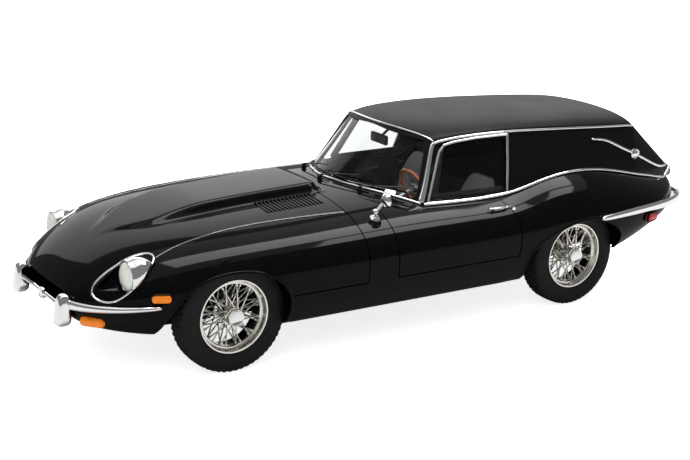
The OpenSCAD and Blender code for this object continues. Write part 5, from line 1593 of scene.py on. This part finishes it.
STEERING_SHARES = (-0.045, 0.368, 0.836)
STEERING_RAKE = math.radians(24)
STEERING_R, STEERING_GRIP = 7.6 * MM, 0.72 * MM
COLUMN_OUTLINE = ((0, -0.9), (1.3, -0.9), (1.8, -0.4), (1.8, 0.5), (0.8, 0.9), (0.8, 16), (0, 16))
SEAT_LENGTH, SEAT_BACK_AT, SEAT_LEAN = 18.8 * MM, 18 * MM, math.tan(math.radians(17))
CUSHION_RISE, CUSHION_SLOPE, BACK_HALF = 2.7 * MM, 0.9 * MM, 2.1 * MM
CAP_SPAN_SHARES, CAP_SHARE = (-0.022, -0.285), 0.837
PILLAR_TRIM_SHARES = ((-0.026, 0.850), (-0.074, 1.125))


def make_steering_wheel():
    """A wooden rim on three spokes, with a boss and a column."""
    at = shares_of(STEERING_SHARES, SPOT)
    turn = (0, math.pi / 2 + STEERING_RAKE, 0)
    a = ring_angles(72)
    loop = np.stack([np.cos(a), np.sin(a), 0 * a], -1) * (STEERING_R - STEERING_GRIP)
    grip = STEERING_GRIP * (1 + 0.05 * np.cos(24 * a))
    rim = placed(sweep("rim", loop, (0, 0, 1), grip, STEERING_GRIP, 14, closed=True), at, turn)
    metal = [turned("boss", COLUMN_OUTLINE, 32)]
    for k in np.radians((180, 60, -60)):
        reach = np.linspace(1.2 * MM, STEERING_R - STEERING_GRIP, 10)
        path = np.stack([reach * math.cos(k), reach * math.sin(k), 0 * reach], -1)
        metal.append(sweep("spoke", path, (0, 0, 1), np.linspace(0.7, 0.5, 10) * MM, 0.2 * MM, 10))
    return rim, placed(joined("steering_metal", *metal), at, turn)


def make_seat(name, node):
    """A bucket seat: a crowned cushion and a back with sewn channels and rolled sides."""
    low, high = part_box(node)
    middle = (low.y + high.y) / 2
    half = (high.y - low.y) / 2
    a = ring_angles(72)
    across, upward = squared(np.cos(a), 0.55), squared(np.sin(a), 0.55)
    channel = 0.09 * np.abs(np.sin(4.5 * math.pi * across)) * (upward > 0) * (np.abs(across) < 0.8)
    side = np.abs(across) ** 4
    cushion, back = [], []
    for t in np.linspace(-1, 1, 25):
        fat = (1 - abs(t) ** 6) ** 0.5
        share = (t + 1) / 2
        x = high.x + (share - 1) * SEAT_LENGTH
        puff = (upward * (1 + 0.35 * side) - channel) * (0.35 + 0.65 * fat)
        z = low.z + (CUSHION_RISE + CUSHION_SLOPE * share) * (1 + puff)
        cushion.append(np.stack([np.full_like(a, x), middle + half * across * (0.9 + 0.1 * fat), z], -1))
        h = share * (high.z - low.z)
        puff = upward * (1 + 0.5 * side * (upward > 0)) - channel
        x = high.x - SEAT_BACK_AT - h * SEAT_LEAN + BACK_HALF * (0.4 + 0.6 * fat) * puff
        wide = half * (0.92 - 0.22 * smooth(0.4, 1.0, t)) * (0.8 + 0.2 * fat)
        back.append(np.stack([x, middle + wide * across, np.full_like(a, low.z + h)], -1))
    return joined(name, wrap("cushion", cushion), wrap("back", back))


def make_door_trims():
    """Dark trims inside the doors: a cap along the waist and a strip up the screen pillar."""
    inset, wide, thin = -1.9 * MM, 1.5 * MM, 0.4 * MM
    x = even(CAP_SPAN_SHARES, HALF_LENGTH, 24)
    cap = sweep("cap", on_side(x, CAP_SHARE * HAUNCH, 1, inset), (0, 1, 0.2), wide, thin)
    ends = np.array(PILLAR_TRIM_SHARES)
    s = ends[0] + (ends[1] - ends[0]) * np.linspace(0, 1, 16)[:, None]
    path = on_side(s[:, 0] * HALF_LENGTH, cabin_z(s[:, 1]), 1, inset)
    strip = sweep("strip", path, (0, 1, 0.2), wide, thin)
    return pair(joined("door_trim", cap, strip), "door_trims")


class BRAKE_OT_cabin(bpy.types.Operator):
    """Make the seats, the door trims and the steering wheel, and finish the tub and the dashboard"""
    bl_idname = "brake.make_cabin"
    bl_label = "Cabin"

    def execute(self, context):
        rim, metal = make_steering_wheel()
        finished(rim, "wheel_wood", "wheel_wood", "steering_wheel")
        finished(metal, "steel", "steel")
        finished(make_door_trims(), "cabin_trim", "cabin_trim")
        for end in ("left", "right"):
            seat = make_seat("seat_shell_" + end, "seat_" + end)
            finished(seat, "seat_hide", "seat_hide", "seat_" + end)
        for node in ("interior_tub", "dashboard"):
            dress(node, "cabin_trim")
        return {"FINISHED"}


def dress(node, material):
    """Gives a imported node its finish."""
    piece = frame["nodes"][node]
    piece.data.materials.clear()
    piece.data.materials.append(bpy.data.materials[FINISH + material])


class BRAKE_OT_underside(bpy.types.Operator):
    """Finish the base plate, the exhaust pipes and the axles"""
    bl_idname = "brake.make_underside"
    bl_label = "Underside"

    def execute(self, context):
        for node, material in (("base_plate", "base_plastic"), ("exhaust_pipes", "pipe"),
                               ("axle_front", "steel"), ("axle_rear", "steel")):
            dress(node, material)
        return {"FINISHED"}


# Stage

CAMERA_AT = (260.3 * MM, 380.3 * MM, 160.8 * MM)
CAMERA_TURN, CAMERA_RISE, CAMERA_ROLL = map(math.radians, (146.723, 16.469, 2.014))
FOCAL_PIXELS, PHOTO_WIDTH, SENSOR = 1370.184, 690, 36.0
WORLD_LIGHT, WORLD_SHINE, FLOOR_GLOW, FLOOR_SHINE, FLOOR_SIZE = 0.5, 0.2, 0.8, 0.5, 6
# Soft lamps: name, place, aim, size, power, and whether it shows in reflections
LIGHTS = (
    ("strip", (-0.34, -0.12, 1.2), (-0.34, -0.11, 0), (1.16, 0.4), 13, True),
    ("backdrop", (-0.47, -1.44, 0.78), (0, 0, 0.04), (2.2, 1.1), 10, True),
    ("haunch_box", (-0.78, 0.28, 1.2), (-0.78, 0.29, 0), (0.3, 0.3), 2.4, True),
    ("ceiling", (0, -0.3, 1.7), (0, -0.29, 0), (3.2, 1.8), 14, True),
    ("key", (0.9, 0.9, 1.5), (0, 0, 0), (1.4, 1.4), 12, False),
    ("fill", (-0.6, -1.0, 1.3), (0, 0, 0), (1.4, 1.2), 10, False))


def make_camera(scene):
    """A camera at the photograph's place, with its small roll."""
    level = math.cos(CAMERA_RISE)
    back = np.array((math.sin(CAMERA_TURN) * level, -math.cos(CAMERA_TURN) * level, math.sin(CAMERA_RISE)))
    right = unit(np.cross((0, 0, 1), back))
    up = np.cross(back, right)
    c, s = math.cos(CAMERA_ROLL), math.sin(CAMERA_ROLL)
    axes = np.stack([c * right + s * up, c * up - s * right, back], 1)
    bpy.ops.object.camera_add(location=CAMERA_AT)
    camera = bpy.context.object
    camera.name = "photo_camera"
    camera.rotation_euler = Matrix(axes.tolist()).to_euler()
    camera.data.sensor_width = SENSOR
    camera.data.lens = FOCAL_PIXELS * SENSOR / PHOTO_WIDTH
    camera.data.clip_start = 0.01
    scene.camera = camera


def add_area(name, at, aim, size, power, shows):
    """A soft lamp; one that doesn't show leaves no reflection of itself."""
    bpy.ops.object.light_add(type="AREA", location=at)
    lamp = bpy.context.object
    lamp.name = name
    lamp.data.shape = "RECTANGLE"
    lamp.data.size, lamp.data.size_y = size
    lamp.data.energy = power
    lamp.rotation_euler = (Vector(aim) - Vector(at)).to_track_quat("-Z", "Y").to_euler()
    lamp.visible_glossy = shows


def make_world(scene):
    """A white world for the camera, a dimmer one as light."""
    world = bpy.data.worlds.new("studio")
    scene.world = world
    world.use_nodes = True
    tree = world.node_tree
    back = tree.nodes["Background"]
    back.inputs["Color"].default_value = (1, 1, 1, 1)
    path = tree.nodes.new("ShaderNodeLightPath")
    seen = math_node(tree, "MAXIMUM", path.outputs["Is Camera Ray"], path.outputs["Is Transmission Ray"])
    lit = math_node(tree, "MULTIPLY_ADD", seen, 1 - WORLD_LIGHT, WORLD_LIGHT)
    dimmed = math_node(tree, "MULTIPLY_ADD", path.outputs["Is Glossy Ray"], WORLD_SHINE - WORLD_LIGHT, lit)
    tree.links.new(dimmed, back.inputs["Strength"])


def make_floor_finish(white):
    """A pale floor that shows dimmer in reflections, as a studio floor far from the lamps does."""
    tree, shader = new_material("floor", white, Roughness=0.7, Specular_IOR_Level=0.1)
    path = tree.nodes.new("ShaderNodeLightPath")
    mix_base(tree, shader, white, [FLOOR_SHINE * w for w in white], path.outputs["Is Glossy Ray"])
    shader.inputs["Emission Color"].default_value = (1, 1, 1, 1)
    glow = math_node(tree, "MULTIPLY", path.outputs["Is Camera Ray"], FLOOR_GLOW)
    tree.links.new(glow, shader.inputs["Emission Strength"])


class BRAKE_OT_stage(bpy.types.Operator):
    """Make the floor, the lights, the world and the camera"""
    bl_idname = "brake.make_stage"
    bl_label = "Stage"

    def execute(self, context):
        scene = context.scene
        scene.view_settings.view_transform = "Standard"
        deselect()
        bpy.ops.mesh.primitive_plane_add(size=FLOOR_SIZE, location=(0, 0, 0))
        floor = named("floor")
        make_floor_finish(scene.brake_colours.floor)
        floor.data.materials.append(bpy.data.materials[FINISH + "floor"])
        make_world(scene)
        for light in LIGHTS:
            add_area(*light)
        make_camera(scene)
        return {"FINISHED"}


class BRAKE_PT_panel(bpy.types.Panel):
    """Sizes, colours and making steps of the model"""
    bl_idname = "BRAKE_PT_panel"
    bl_label = "Shooting brake"
    bl_space_type = "VIEW_3D"
    bl_region_type = "UI"
    bl_category = "Shooting brake"

    def draw(self, context):
        for group in (context.scene.brake_sizes, context.scene.brake_colours):
            for label in group.__annotations__:
                self.layout.prop(group, label)
        for step in STEPS:
            self.layout.operator(step.bl_idname)


STEPS = (BRAKE_OT_finishes, BRAKE_OT_stage, BRAKE_OT_body, BRAKE_OT_roof, BRAKE_OT_glass,
         BRAKE_OT_brightwork, BRAKE_OT_bumpers, BRAKE_OT_lamps, BRAKE_OT_fittings, BRAKE_OT_wheels,
         BRAKE_OT_cabin, BRAKE_OT_underside)
CLASSES = (BrakeSizes, BrakeColours, *STEPS, BRAKE_PT_panel)


def register():
    for kind in CLASSES:
        bpy.utils.register_class(kind)
    bpy.types.Scene.brake_sizes = bpy.props.PointerProperty(type=BrakeSizes)
    bpy.types.Scene.brake_colours = bpy.props.PointerProperty(type=BrakeColours)


def unregister():
    del bpy.types.Scene.brake_colours
    del bpy.types.Scene.brake_sizes
    for kind in reversed(CLASSES):
        bpy.utils.unregister_class(kind)


def main():
    register()
    for step in STEPS:
        family, name = step.bl_idname.split(".")
        getattr(getattr(bpy.ops, family), name)()


if __name__ == "__main__":
    main()
